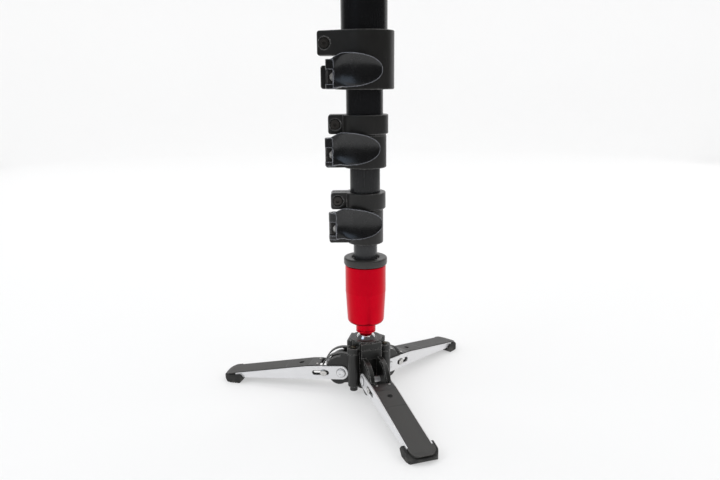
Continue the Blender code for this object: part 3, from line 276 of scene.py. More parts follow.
class Paint:
    """A material's node tree, built from expressions."""

    def __init__(self, name):
        self.material = bpy.data.materials.new(name)
        self.material.use_nodes = True
        self.tree = self.material.node_tree
        self.shader = self.tree.nodes["Principled BSDF"]

    def node(self, kind, settings=None, sockets=None, output=0):
        """Add a node: its settings first, then its sockets' values or links."""
        item = self.tree.nodes.new(kind)
        for key, value in (settings or {}).items():
            setattr(item, key, value)
        for key, value in (sockets or {}).items():
            if isinstance(value, Value):
                self.tree.links.new(value.socket, item.inputs[key])
            else:
                item.inputs[key].default_value = value
        return Value(self, item.outputs[output])

    def position(self, turn=0.0, stretch=(1.0, 1.0, 1.0)):
        """Place on the piece, turned about Z and stretched."""
        place = self.node("ShaderNodeTexCoord", output="Object")
        if turn:
            spun = {"Vector": place, "Rotation": (0.0, 0.0, turn)}
            place = self.node("ShaderNodeMapping", {"vector_type": "POINT"}, spun)
        if stretch == (1.0, 1.0, 1.0):
            return place
        return self.node("ShaderNodeVectorMath", {"operation": "MULTIPLY"}, {0: place, 1: stretch})

    def parts(self, vector):
        """The three parts of a vector."""
        split = self.tree.nodes.new("ShaderNodeSeparateXYZ")
        self.tree.links.new(vector.socket, split.inputs[0])
        return [Value(self, socket) for socket in split.outputs]

    def noise(self, grain, detail=3.0, turn=0.0, stretch=(1.0, 1.0, 1.0)):
        """Noise on the piece, whose features are about one grain wide."""
        place = self.position(turn, stretch)
        sockets = {"Vector": place, "Scale": 1.0 / grain, "Detail": detail, "Roughness": noise_roughness}
        return self.node("ShaderNodeTexNoise", None, sockets)

    def step(self, value, low, high):
        """Smooth step of a value between two bounds."""
        sockets = {"Value": value, "From Min": low, "From Max": high, "To Min": 0.0, "To Max": 1.0}
        return self.node("ShaderNodeMapRange", {"interpolation_type": "SMOOTHSTEP"}, sockets)

    def mix(self, share, first, second):
        """One colour faded into another."""
        first = (*first, 1.0) if isinstance(first, tuple) else first
        second = (*second, 1.0) if isinstance(second, tuple) else second
        return self.node("ShaderNodeMix", {"data_type": "RGBA"}, {0: share, 6: first, 7: second}, output=2)

    def shades(self, share, colour, first, second):
        """A colour that varies between two shares of itself."""
        return self.mix(share, scaled(colour, first), scaled(colour, second))

    def edges(self, radius):
        """High on edges and corners, from the difference that rounding would make."""
        soft = self.node("ShaderNodeBevel", {"samples": bevel_samples}, {"Radius": radius})
        plain = self.node("ShaderNodeNewGeometry", output="Normal")
        settings = {"operation": "DOT_PRODUCT"}
        alike = self.node("ShaderNodeVectorMath", settings, {0: soft, 1: plain}, output="Value")
        return self.step(alike, edge_start, edge_full)

    def bump(self, height, depth, rounding=0.0):
        """Relief of a depth, on edges that look rounded."""
        sockets = {"Height": height, "Distance": depth, "Strength": 1.0}
        if rounding:
            sockets["Normal"] = self.node("ShaderNodeBevel", {"samples": bevel_samples}, {"Radius": rounding})
        return self.node("ShaderNodeBump", None, sockets)

    def finish(self, constants, **links):
        """Set the shader's sockets: fixed values directly, changing ones as links."""
        for key, value in constants.items():
            self.shader.inputs[key].default_value = value
        for key, value in links.items():
            self.tree.links.new(value.socket, self.shader.inputs[key.replace("_", " ")])
        return self.material


def scaled(colour, share):
    """A colour made lighter or darker."""
    return tuple(min(1.0, part * share) for part in colour)


def bare_metal_and_edge_highlight():
    """Steel colour, both where paint has rubbed away and for painted highlights along edges."""
    return tuple(bpy.context.scene.monopod_colours.steel)


def tube_finish(name, colour):
    """Black anodised tube, rubbed along its length by the clamps."""
    paint = Paint(name)
    along = paint.noise(0.00035, 4.0, stretch=(1.0, 1.0, 0.02))
    rubbed = paint.step(paint.noise(0.0016, 5.0, stretch=(1.0, 1.0, 0.05)), 0.62, 0.80)
    cloud = paint.noise(0.018)
    shade = paint.shades(cloud, colour, 0.8, 1.35)
    # Painted highlight: the tube's edges are lightened towards the steel colour.
    shade = paint.mix(paint.edges(0.0003) * 0.5, shade, scaled(bare_metal_and_edge_highlight(), 0.5))
    roughness = 0.22 + 0.04 * along + 0.06 * rubbed + 0.05 * cloud
    relief = paint.bump(along, 0.000004)
    constants = {"Specular IOR Level": 0.35, "Coat Weight": 0.10, "Coat Roughness": 0.15}
    return paint.finish(constants, Base_Color=shade, Roughness=roughness, Normal=relief)


def casting_finish(name, colour):
    """Satin black paint on a casting, with a fine pebbled skin, painted highlights along its edges and paint
    chipped from some of them.
    """
    paint = Paint(name)
    pebbles = paint.noise(0.00042, 2.0)
    cloud = paint.noise(0.009, 4.0)
    chips = paint.step(paint.noise(0.0011, 5.0), 0.50, 0.66)
    edge = paint.edges(0.0010)
    shade = paint.shades(cloud, colour, 0.75, 1.35)
    # Painted highlight: every edge lightened towards the steel colour. Next line, real wear: paint chipped to
    # bare metal on patches of the edges.
    shade = paint.mix(edge * 0.45, shade, scaled(bare_metal_and_edge_highlight(), 0.30))
    shade = paint.mix(edge * chips * 0.75, shade, scaled(bare_metal_and_edge_highlight(), 0.8))
    roughness = 0.30 + 0.10 * cloud + 0.08 * pebbles - 0.14 * edge
    relief = paint.bump(pebbles, 0.000035, rounding=0.00035)
    constants = {"Specular IOR Level": 0.45, "Coat Weight": 0.12, "Coat Roughness": 0.2}
    return paint.finish(constants, Base_Color=shade, Roughness=roughness, Normal=relief)


def lever_finish(name, colour):
    """Gloss black moulded plastic with hairline rub marks and painted highlights along its rims and edges."""
    paint = Paint(name)
    fingers = paint.noise(0.010, 5.0)
    hairs = paint.noise(0.00030, 3.0, turn=0.5, stretch=(0.06, 1.0, 1.0))
    skin = paint.noise(0.0030, 2.0)
    edge = paint.edges(0.0010)
    shade = paint.shades(fingers, colour, 0.8, 1.5)
    # Painted highlight: rims and edges lightened to a pale grey.
    shade = paint.mix(edge * 0.8, shade, scaled(colour, 100.0))
    smudge = paint.step(fingers, 0.45, 0.75)
    roughness = 0.25 + 0.10 * smudge + 0.07 * paint.step(hairs, 0.58, 0.75)
    relief = paint.bump(skin, 0.000030, rounding=0.0004)
    constants = {"Specular IOR Level": 0.5, "Coat Weight": 0.20, "Coat Roughness": 0.20}
    return paint.finish(constants, Base_Color=shade, Roughness=roughness, Normal=relief)


def cover_finish(name, colour, turn):
    """Dark paint on a pressed cover: glossy inner end, a pressed step, fine grain and painted highlights
    along its edges.
    """
    paint = Paint(name)
    grain = paint.noise(0.00030, 2.0)
    cloud = paint.noise(0.009, 4.0, turn=turn, stretch=(0.35, 1.0, 1.0))
    marks = paint.noise(0.0007, 4.0, turn=turn, stretch=(0.05, 1.0, 1.0))
    edge = paint.edges(0.0005)
    along = paint.parts(paint.position(turn=turn))[0]
    inner = paint.step(along, gloss_end_reach, gloss_end_reach - 0.0006)
    pressed = paint.step(along, pressed_step_reach, pressed_step_reach + 0.0016)
    shade = paint.shades(cloud, colour, 0.72, 1.30)
    shade = paint.mix(paint.step(marks, 0.60, 0.78) * 0.30, shade, scaled(colour, 2.3))
    shade = paint.mix(inner, shade, scaled(colour, 0.25))
    # Painted highlight: edges lightened towards the steel colour.
    shade = paint.mix(edge * 0.30, shade, scaled(bare_metal_and_edge_highlight(), 0.35))
    roughness = 0.40 + 0.12 * cloud + 0.06 * grain - 0.10 * edge - 0.20 * inner
    relief = paint.bump(0.000025 * grain - 0.00030 * pressed - 0.00015 * inner, 1.0, rounding=0.0004)
    constants = {"Specular IOR Level": 0.5}
    return paint.finish(constants, Base_Color=shade, Roughness=roughness, Normal=relief)


def rubber_finish(name, colour, grain_width, dust_height):
    """Matt moulded rubber, paler with dust below a height."""
    paint = Paint(name)
    grain = paint.noise(grain_width, 3.0)
    cloud = paint.noise(0.006, 4.0)
    height = paint.parts(paint.position())[2]
    dust = paint.step(height, dust_height, dust_height - 0.006) * paint.step(cloud, 0.35, 0.70)
    shade = paint.shades(cloud, colour, 0.8, 1.3)
    shade = paint.mix(dust * 0.22, shade, (0.22, 0.21, 0.19))
    # Painted highlight: edges lightened.
    shade = paint.mix(paint.edges(0.0005) * 0.25, shade, scaled(colour, 3.0))
    roughness = 0.62 + 0.16 * grain + 0.10 * dust
    relief = paint.bump(grain, 0.000060, rounding=0.0004)
    return paint.finish({"Specular IOR Level": 0.4}, Base_Color=shade, Roughness=roughness, Normal=relief)


def cartridge_finish(name, colour):
    """Red anodised aluminium with the fine rings of turning under its gloss."""
    paint = Paint(name)
    rings = paint.noise(0.00022, 4.0, stretch=(0.04, 0.04, 1.0))
    cloud = paint.noise(0.012, 3.0)
    edge = paint.edges(0.0004)
    shade = paint.shades(cloud, colour, 0.88, 1.10)
    shade = paint.mix(rings * 0.25, shade, scaled(colour, 0.70))
    # Painted highlight: edges lightened to a pale pinkish red.
    shade = paint.mix(edge * 0.5, shade, (0.80, 0.10, 0.12))
    roughness = 0.27 + 0.10 * rings + 0.06 * cloud
    relief = paint.bump(rings, 0.000008, rounding=0.0004)
    constants = {"Metallic": 1.0, "Coat Weight": 0.05, "Coat Roughness": 0.10}
    return paint.finish(constants, Base_Color=shade, Roughness=roughness, Normal=relief)


def plate_finish(name, colour, turn):
    """Bright rolled sheet, brushed along the leg, with painted highlights along its cut edges."""
    paint = Paint(name)
    brushed = paint.noise(0.00022, 4.0, turn=turn, stretch=(0.012, 1.0, 1.0))
    cloud = paint.noise(0.010, 3.0, turn=turn, stretch=(0.5, 1.0, 1.0))
    specks = paint.step(paint.noise(0.0009, 4.0), 0.66, 0.80)
    edge = paint.edges(0.00025)
    shade = paint.shades(cloud, colour, 0.90, 1.06)
    shade = paint.mix(brushed * 0.22, shade, scaled(colour, 0.72))
    shade = paint.mix(specks * 0.25, shade, scaled(colour, 0.45))
    # Painted highlight: edges lightened.
    shade = paint.mix(edge * 0.4, shade, scaled(colour, 1.2))
    roughness = 0.26 + 0.12 * brushed + 0.08 * cloud + 0.15 * specks
    relief = paint.bump(brushed, 0.000012, rounding=0.00025)
    return paint.finish({"Metallic": 0.50}, Base_Color=shade, Roughness=roughness, Normal=relief)


def metal_finish(name, colour, roughness, grain_width, metallic=1.0, stain=0.25):
    """Turned or plated steel with fine tool marks, a little staining and painted highlights on its edges."""
    paint = Paint(name)
    marks = paint.noise(grain_width, 3.0)
    stains = paint.step(paint.noise(0.0016, 5.0), 0.52, 0.75)
    edge = paint.edges(0.0005)
    shade = paint.shades(marks * 0.5, colour, 1.05, 0.8)
    shade = paint.mix(stains * stain, shade, scaled(colour, 0.35))
    # Painted highlight: edges lightened to a much paler copy of the colour, as glints on heads and rims.
    shade = paint.mix(edge * 0.6, shade, scaled(colour, 2.5))
    rough = roughness + 0.08 * marks + 0.15 * stains
    relief = paint.bump(marks, 0.000008, rounding=0.0002)
    return paint.finish({"Metallic": metallic}, Base_Color=shade, Roughness=rough, Normal=relief)


def plastic_finish(name, colour):
    """Plain moulded bearing plastic, slightly mottled."""
    paint = Paint(name)
    grain = paint.noise(0.0004, 2.0)
    cloud = paint.noise(0.004, 3.0)
    shade = paint.shades(cloud, colour, 0.85, 1.08)
    relief = paint.bump(grain, 0.000030, rounding=0.0002)
    return paint.finish({}, Base_Color=shade, Roughness=0.42 + 0.12 * grain, Normal=relief)


def floor_finish(name, colour):
    """Smooth pale studio surface with the faintest mottling, which gives off some light."""
    paint = Paint(name)
    cloud = paint.noise(0.25, 2.0)
    shade = paint.shades(cloud, colour, 0.485, 0.5)
    constants = {"Specular IOR Level": 0.25, "Emission Color": white, "Emission Strength": floor_glow}
    return paint.finish(constants, Base_Color=shade, Roughness=0.55 + 0.05 * cloud)


# Finishes by name: maker, title, colour with its share, and the maker's own numbers
finish_rows = {
    "tube_1": (tube_finish, "Widest tube", "tube", 1.0),
    "tube_2": (tube_finish, "Second tube", "tube", 1.4),
    "tube_3": (tube_finish, "Third tube", "thin_tube", 0.45),
    "tube_4": (tube_finish, "Thinnest tube", "thin_tube", 1.0),
    "hub": (casting_finish, "Black hub", "hub", 1.0),
    "casting": (casting_finish, "Satin black casting", "casting", 1.0),
    "cap": (casting_finish, "Black cap", "casting", 2.8),
    "lever": (lever_finish, "Gloss black lever", "lever", 1.0),
    "shoe": (rubber_finish, "Shoe rubber", "rubber", 1.0, 0.00045, 0.004),
    "grip": (rubber_finish, "Grip rubber", "rubber", 1.0, 0.00070, node_bottom("grip")),
    "cartridge": (cartridge_finish, "Red anodised housing", "cartridge", 1.0),
    "steel": (metal_finish, "Bright steel", "steel", 1.0, 0.24, 0.0004),
    "screw": (metal_finish, "Dark screw", "screw", 1.0, 0.34, 0.0003, 0.8),
    "bolt": (metal_finish, "Black bolt", "screw", 0.25, 0.36, 0.0003, 0.6),
    "pin": (metal_finish, "Bright pin", "steel", 1.0, 0.30, 0.0003, 0.4),
    "spring": (metal_finish, "Spring wire", "steel", 0.2, 0.38, 0.0003),
    "hub_screw": (metal_finish, "Hub screw", "hub_screw", 1.0, 0.42, 0.0003),
    "chrome": (metal_finish, "Chrome", "chrome", 1.0, 0.06, 0.0006, 1.0, 0.05),
    "bearing": (plastic_finish, "Pale bearing", "bearing", 1.0),
    "guide": (plastic_finish, "Grey guide", "guide", 1.0),
    "floor": (floor_finish, "Studio floor", "floor", 1.0),
}
for leg_name, leg_turn in leg_turns.items():
    brush_turn = math.pi / 2 - leg_turn
    finish_rows["cover_" + leg_name] = (cover_finish, "Dark cover " + leg_name, "cover", 1.0, brush_turn)
    finish_rows["plate_" + leg_name] = (plate_finish, "Bright plate " + leg_name, "plate", 1.0, brush_turn)
finishes = {}


def finish(name):
    """A finish by name, made when it is first asked for."""
    if name not in finishes:
        maker, title, colour, share, *numbers = finish_rows[name]
        colour = tuple(getattr(bpy.context.scene.monopod_colours, colour))
        finishes[name] = maker(title, scaled(colour, share), *numbers)
    return finishes[name]


# Forms


def arc(centre, radius, start, end, step=fine_step):
    """Points along an arc, its two ends included."""
    count = max(2, math.ceil(abs(end - start) / step) + 1)
    angles = [start + (end - start) * index / (count - 1) for index in range(count)]
    return [(centre[0] + radius * math.cos(angle), centre[1] + radius * math.sin(angle)) for angle in angles]


def rounded(corners, radius, closed=True):
    """An outline with its sharp corners rounded."""
    outline = []
    for index, corner in enumerate(corners):
        here = Vector(corner)
        before = Vector(corners[index - 1]) - here
        after = Vector(corners[(index + 1) % len(corners)]) - here
        at_end = not closed and index in (0, len(corners) - 1)
        if at_end or before.length < weld_distance or after.length < weld_distance:
            outline.append(tuple(here))
            continue
        angle = before.angle(after)
        if angle > blunt_angle:
            outline.append(tuple(here))
            continue
        cut = min(radius / math.tan(angle / 2), before.length / corner_room, after.length / corner_room)
        bend = cut * math.tan(angle / 2)
        middle = here + (before.normalized() + after.normalized()).normalized() * (bend / math.sin(angle / 2))
        first = here + before.normalized() * cut - middle
        start = math.atan2(first.y, first.x)
        last = here + after.normalized() * cut - middle
        sweep = math.remainder(math.atan2(last.y, last.x) - start, math.tau)
        outline += arc(tuple(middle), bend, start, start + sweep, corner_step)
    return outline


def hexagon(radius):
    """Corners of a six-sided outline."""
    turns = [math.tau * side / 6 for side in range(6)]
    return [(radius * math.cos(turn), radius * math.sin(turn)) for turn in turns]


def both_sides(low, high):
    """A span and its mirror image, each as its lower and upper bound."""
    return (low, high), (-high, -low)


def signed_area(outline):
    """Area of an outline, positive where it runs anticlockwise."""
    pairs = zip(outline, outline[1:] + outline[:1])
    return sum(a[0] * b[1] - b[0] * a[1] for a, b in pairs) / 2


def inset(outline, depth):
    """An outline moved inwards by a depth."""
    sign = 1.0 if signed_area(outline) > 0 else -1.0
    moved = []
    for index, corner in enumerate(outline):
        before = (Vector(corner) - Vector(outline[index - 1])).normalized()
        after = (Vector(outline[(index + 1) % len(outline)]) - Vector(corner)).normalized()
        first = Vector((-before.y, before.x)) * sign
        second = Vector((-after.y, after.x)) * sign
        spread = max(least_spread, 1 + first.dot(second))
        moved.append(tuple(Vector(corner) + (first + second) * (depth / spread)))
    return moved


def skin(shape, rings):
    """Join like rings of corners into one closed body."""
    for near, far in zip(rings, rings[1:]):
        for index in range(len(near)):
            after = (index + 1) % len(near)
            shape.faces.new((near[index], near[after], far[after], far[index]))
    shape.faces.new(rings[0])
    shape.faces.new(rings[-1])
    bmesh.ops.recalc_face_normals(shape, faces=shape.faces)


def lathe(profile, sides=round_sides, ring=False):
    """Spin (radius, height) points about Z into a closed body."""
    shape = bmesh.new()
    corners = [shape.verts.new((radius, 0, height)) for radius, height in profile]
    edges = [shape.edges.new(pair) for pair in zip(corners, corners[1:])]
    if ring:
        edges.append(shape.edges.new((corners[-1], corners[0])))
    bmesh.ops.spin(
        shape, geom=corners + edges, cent=(0, 0, 0), axis=(0, 0, 1), dvec=(0, 0, 0),
        angle=math.tau, steps=sides, use_merge=True, use_duplicate=False,
    )
    bmesh.ops.remove_doubles(shape, verts=shape.verts, dist=weld_distance)
    bmesh.ops.recalc_face_normals(shape, faces=shape.faces)
    return shape


def turned(corners, radius, sides=round_sides):
    """A solid turned from a line of corners, with the sharp ones rounded."""
    return lathe(rounded(corners, radius, closed=False), sides)


def prism(outline, low, high, along="Z", rim=0.0):
    """An outline drawn out along Z, or an (x, z) one along Y, with rounded rims."""
    steps = [math.radians(angle) for angle in rim_turns] if rim else [0.0]
    levels = [(rim * (1 - math.cos(turn)), low + rim * (1 - math.sin(turn))) for turn in steps]
    levels += [(depth, low + high - height) for depth, height in reversed(levels)]
    if not rim:
        levels = [(0.0, low), (0.0, high)]
    shape = bmesh.new()
    rings = []
    for depth, level in levels:
        flat = inset(outline, depth) if depth else outline
        points = [(a, b, level) if along == "Z" else (a, level, b) for a, b in flat]
        rings.append([shape.verts.new(point) for point in points])
    skin(shape, rings)
    return shape


def rod(radius, low, high, sides=round_sides, edge=0.0):
    """A round bar along Z with rounded ends."""
    corners = [(0, low), (radius, low), (radius, high), (0, high)]
    return lathe(rounded(corners, edge, closed=False) if edge else corners, sides)


def pipe(outer, inner, low, high, edge=0.0, sides=round_sides):
    """An open tube along Z."""
    corners = [(inner, low), (outer, low), (outer, high), (inner, high)]
    return lathe(rounded(corners, edge) if edge else corners, sides, ring=True)


def sweep(points, radius, sides=wire_sides):
    """A round wire along a route of points."""
    shape = bmesh.new()
    side = (points[1] - points[0]).orthogonal().normalized()
    rings = []
    for index, point in enumerate(points):
        ahead = points[min(index + 1, len(points) - 1)] - points[max(index - 1, 0)]
        ahead.normalize()
        side = (side - ahead * side.dot(ahead)).normalized()
        up = ahead.cross(side)
        turns = [math.tau * step / sides for step in range(sides)]
        rings.append([
            shape.verts.new(point + side * (radius * math.cos(turn)) + up * (radius * math.sin(turn)))
            for turn in turns
        ])
    skin(shape, rings)
    return shape


def add_form(name, shape, place=None):
    """An object of a form, with its place worked into its mesh."""
    mesh = bpy.data.meshes.new(name)
    shape.to_mesh(mesh)
    shape.free()
    if place is not None:
        mesh.transform(place)
    form = bpy.data.objects.new(name, mesh)
    bpy.context.scene.collection.objects.link(form)
    return form


def settle(piece):
    """Work a piece's modifiers into its mesh."""
    bpy.context.view_layer.update()
    graph = bpy.context.evaluated_depsgraph_get()
    mesh = bpy.data.meshes.new_from_object(piece.evaluated_get(graph), depsgraph=graph)
    piece.modifiers.clear()
    piece.data = mesh


def combine(piece, shape, place=None, operation="DIFFERENCE"):
    """Cut a form from a piece, or join it on."""
    tool = add_form(piece.name + "_tool", shape, place)
    step = piece.modifiers.new("Form", "BOOLEAN")
    step.operation = operation
    step.solver = "MANIFOLD"
    step.object = tool
    settle(piece)
    bpy.data.objects.remove(tool, do_unlink=True)
    if len(piece.data.polygons) == 0:
        raise RuntimeError(f"{piece.name} lost its faces in a {operation.lower()}")


def soften(piece, width, least_angle):
    """Round every edge that is sharper than an angle."""
    step = piece.modifiers.new("Soft edges", "BEVEL")
    step.width = width
    step.segments = soft_segments
    step.limit_method = "ANGLE"
    step.angle_limit = math.radians(least_angle)
    settle(piece)


def smooth(piece, angle):
    """Smooth shading that keeps flat faces flat."""
    piece.data.shade_smooth()
    piece.data.set_sharp_from_angle(angle=angle)
    step = piece.modifiers.new("Weighted normals", "WEIGHTED_NORMAL")
    step.keep_sharp = True
    step.weight = 50
    settle(piece)


record = frame["record"]
body_of_node = {node: body for body, nodes in record["behaviour"]["bodies"].items() for node in nodes}


def dress(node, form, finish_name, angle=smooth_angle, trim=None):
    """Give a form a node's body and a finish. It stands for the node, unless it is trim with its own name."""
    smooth(form, angle)
    form.name = trim or node + "_dressed"
    form.data.name = form.name
    form.data.materials.clear()
    form.data.materials.append(finish(finish_name))
    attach(form, body_of_node[node])
    if not trim:
        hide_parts(node)
    return form


def build(node, shape, finish_name, place=None, angle=smooth_angle, trim=None):
    """Dress a node, or make trim for it, with a shape that needs no cuts."""
    return dress(node, add_form(node + "_form", shape, place), finish_name, angle, trim)


def shift(x=0.0, y=0.0, z=0.0):
    """A move without a turn."""
    return Matrix.Translation((x, y, z))


def turned_to(azimuth):
    """Local +X along an azimuth, which runs from -Y towards +X."""
    return Matrix.Rotation(azimuth - math.pi / 2, 4, "Z")


across = Matrix.Rotation(math.pi / 2, 4, "X")
to_back = Matrix.Rotation(-math.pi / 2, 4, "X")


def leg_place(azimuth):
    """Frame of a leg's hinge: +X outwards along the leg, +Z up."""
    hub = bpy.context.scene.monopod_hub
    return turned_to(azimuth) @ shift(hub.pivot_reach, 0.0, hub.pivot_height)


def latch_place(azimuth):
    """Frame of a leg's latch, which slopes down along the leg."""
    return leg_place(azimuth) @ Matrix.Rotation(bpy.context.scene.monopod_leg.latch_slope, 4, "Y")


# Hub

hub_boss_radius = 0.0110
hub_boss_height = 0.0042
hub_core_radius = 0.0137
hub_core_top = 0.0380
cup_radius = 0.0111
wall_outer = 0.0150
wall_inner = 0.0118
wall_width = 0.0184
wall_bottom = 0.0291
wall_top = 0.0437
post_top = 0.0340
post_nub_radius = 0.0034
hub_screw_radius = 0.0013
hub_screw_head_radius = 0.0024
hub_screw_head_height = 0.0012
hub_screw_length = 0.0140
pivot_pin_radius = 0.0025
fold_angle = math.radians(85)
cheek_jaw_angle = math.radians(15)
cheek_top_angle = math.radians(100)
cheek_mouth_radius = 0.0177
cheek_mouth_angle = math.radians(-16)
cheek_lobe_radius = 0.0086
cheek_lobe_reach = 0.0026
cheek_lobe_drop = 0.0030
cheek_lobe_start = math.radians(-20)
cheek_lobe_end = math.radians(-130)
cheek_root_reach = 0.0085
latch_waist_radius = 0.0008
slot_end_play = 0.0005


def cheek_outline(hub, leg):
    """Side view of a cheek about the pivot: its rim, latch track, mouth and round lobe."""
    half_track = latch_waist_radius + fit_gap
    track_inner = leg.latch_reach - half_track
    track_outer = leg.latch_reach + half_track
    track_end = fold_angle - leg.latch_slope + math.asin(slot_end_play / leg.latch_reach)
    middle = (leg.latch_reach * math.cos(track_end), leg.latch_reach * math.sin(track_end))
    root = -cheek_root_reach - (hub.pivot_reach - hub_core_radius)
    mouth_inner = -leg.latch_slope - math.asin(half_track / track_inner)
    mouth_outer = -leg.latch_slope - math.asin(half_track / cheek_mouth_radius)
    post_foot = hub_boss_height - hub.pivot_height
    outline = [(root, hub.cheek_radius * math.sin(cheek_top_angle))]
    outline += arc((0, 0), hub.cheek_radius, cheek_top_angle, cheek_jaw_angle)
    outline += arc((0, 0), track_outer, cheek_jaw_angle, track_end)
    outline += arc(middle, half_track, track_end, track_end + math.pi, corner_step)[1:-1]
    outline += arc((0, 0), track_inner, track_end, mouth_inner)
    outline += arc((0, 0), cheek_mouth_radius, mouth_outer, cheek_mouth_angle)
    outline += arc((cheek_lobe_reach, -cheek_lobe_drop), cheek_lobe_radius, cheek_lobe_start, cheek_lobe_end)
    outline.append((root, post_foot))
    return rounded(outline, hub.edge * 2)


def wall_outline():
    """Plan of the flat-faced wall above a leg's slot."""
    half_angle = math.asin(wall_width / 2 / wall_inner)
    outline = [(wall_outer, -wall_width / 2), (wall_outer, wall_width / 2)]
    return outline + arc((0, 0), wall_inner, half_angle, -half_angle)


def ear_boss_outline(hub):
    """Plan of a retainer ear over its post, hollow where it clears the core."""
    core = hub_core_radius + 2 * fit_gap
    apart = hub.post_circle
    post = hub.post_radius
    core_angle = math.acos((apart ** 2 + core ** 2 - post ** 2) / (2 * apart * core))
    meet = math.pi - math.acos((apart ** 2 + post ** 2 - core ** 2) / (2 * apart * post))
    outline = arc((apart, 0), post, -meet, meet)
    return outline + arc((0, 0), core, core_angle, -core_angle)[1:-1]


def post_azimuths():
    """Directions of the posts, half way between the legs."""
    return [azimuth + math.pi / len(leg_turns) for azimuth in leg_turns.values()]


class MONOPOD_OT_hub(bpy.types.Operator):
    """Build the cast hub, its retainer ring and the three screws"""

    bl_idname = "monopod.build_hub"
    bl_label = "Hub"

    def execute(self, context):
        hub = context.scene.monopod_hub
        leg = context.scene.monopod_leg
        column = context.scene.monopod_column
        drop = column.ball_height - hub_core_top
        rim_angle = -math.asin(drop / cup_radius)
        profile = rounded([
            (0, 0), (hub_boss_radius, 0), (hub_boss_radius, hub_boss_height),
            (hub_core_radius, hub_boss_height), (hub_core_radius, hub_core_top),
        ], hub.edge, closed=False)
        profile += arc((0, column.ball_height), cup_radius, rim_angle, -math.pi / 2)[:-1]
        profile.append((0, column.ball_height - cup_radius))
        casting = add_form("hub_casting", lathe(profile))
        for azimuth in post_azimuths():
            corners = [
                (0, 0), (post_nub_radius, 0), (post_nub_radius, hub_boss_height),
                (hub.post_radius, hub_boss_height), (hub.post_radius, post_top), (0, post_top),
            ]
            place = turned_to(azimuth) @ shift(hub.post_circle)
            combine(casting, turned(corners, hub.edge, small_sides), place, "UNION")
        half_gap = hub.cheek_gap / 2
        cheek_outer = half_gap + hub.cheek_thickness
        for azimuth in leg_turns.values():
            wall = prism(wall_outline(), wall_bottom, hub_core_top, rim=hub.edge)
            combine(casting, wall, turned_to(azimuth), "UNION")
            for near, far in both_sides(half_gap, cheek_outer):
                cheek = prism(cheek_outline(hub, leg), near, far, "Y", rim=hub.edge)
                combine(casting, cheek, leg_place(azimuth), "UNION")
        for azimuth in leg_turns.values():
            reach = cheek_outer + cut_overrun
            hole = rod(pivot_pin_radius + fit_gap, -reach, reach, small_sides)
            combine(casting, hole, leg_place(azimuth) @ across)
        retainer_top = node_top("hub_screw_1") - hub_screw_head_height - fit_gap
        for azimuth in post_azimuths():
            low = retainer_top - hub_screw_length - fit_gap
            hole = rod(hub_screw_radius + fit_gap, low, post_top + cut_overrun, small_sides)
            combine(casting, hole, turned_to(azimuth) @ shift(hub.post_circle))
        dress("hub", casting, "hub")
        self.build_retainer(hub, column, retainer_top)
        return {"FINISHED"}

    def build_retainer(self, hub, column, ear_top):
        """Ring over the ball, with three ears and three walls."""
        bottom = hub_core_top + fit_gap
        top = node_top("ball_retainer")
        lip_radius = column.ball_radius + fit_gap
        centre = (0, column.ball_height)
        low_angle = math.asin((bottom - column.ball_height) / cup_radius)
        step_angle = math.asin((top - column.ball_height) / 2 / cup_radius)
        lip_low = math.asin((top - column.ball_height) / 2 / lip_radius)
        lip_high = math.asin((top - column.ball_height) / lip_radius)
        profile = rounded([
            (hub_core_radius - hub.edge * 3, bottom), (hub_core_radius, bottom),
            (hub_core_radius, top), (lip_radius * math.cos(lip_high), top),
        ], hub.edge, closed=False)
        profile += arc(centre, lip_radius, lip_high, lip_low)[1:]
        profile += arc(centre, cup_radius, step_angle, low_angle)
        ring = add_form("retainer_ring", lathe(profile, ring=True))
        for azimuth in post_azimuths():
            half = hub.post_radius
            inner = cup_radius + hub.edge
            outline = [(inner, -half), (hub.post_circle, -half)]
            outline += arc((hub.post_circle, 0), half, -math.pi / 2, math.pi / 2)[1:-1]
            outline += [(hub.post_circle, half), (inner, half)]
            ear = prism(outline, bottom, ear_top, rim=hub.edge)
            combine(ring, ear, turned_to(azimuth), "UNION")
            boss = prism(ear_boss_outline(hub), post_top + fit_gap, ear_top, rim=hub.edge)
            combine(ring, boss, turned_to(azimuth), "UNION")
        for azimuth in leg_turns.values():
            wall = prism(wall_outline(), bottom, wall_top, rim=hub.edge)
            combine(ring, wall, turned_to(azimuth), "UNION")
        for azimuth in post_azimuths():
            hole = rod(hub_screw_radius + fit_gap, post_top - cut_overrun, ear_top + cut_overrun, small_sides)
            combine(ring, hole, turned_to(azimuth) @ shift(hub.post_circle))
        dress("ball_retainer", ring, "hub")
        self.build_screws(hub, ear_top)

    def build_screws(self, hub, ear_top):
        """Domed screws with a cross recess."""
        head = ear_top + fit_gap
        dome = head + hub_screw_head_height
        for number, azimuth in enumerate(post_azimuths(), 1):
            corners = [
                (0, ear_top - hub_screw_length), (hub_screw_radius, ear_top - hub_screw_length),
                (hub_screw_radius, head), (hub_screw_head_radius, head),
                (hub_screw_head_radius, head + hub_screw_head_height / 3),
                (hub_screw_head_radius / 2, dome), (0, dome),
            ]
            place = turned_to(azimuth) @ shift(hub.post_circle)
            shape = turned(corners, hub_screw_head_height / 3, small_sides)
            screw = add_form(f"hub_screw_form_{number}", shape, place)
            half = hub_screw_radius / 5
            for turn in (0.0, math.pi / 2):
                outline = [(-hub_screw_radius, -half), (hub_screw_radius, -half),
                           (hub_screw_radius, half), (-hub_screw_radius, half)]
                slot = prism(outline, dome - hub_screw_head_height / 2, dome + cut_overrun)
                combine(screw, slot, place @ Matrix.Rotation(turn, 4, "Z"))
            dress(f"hub_screw_{number}", screw, "hub_screw")


# Legs

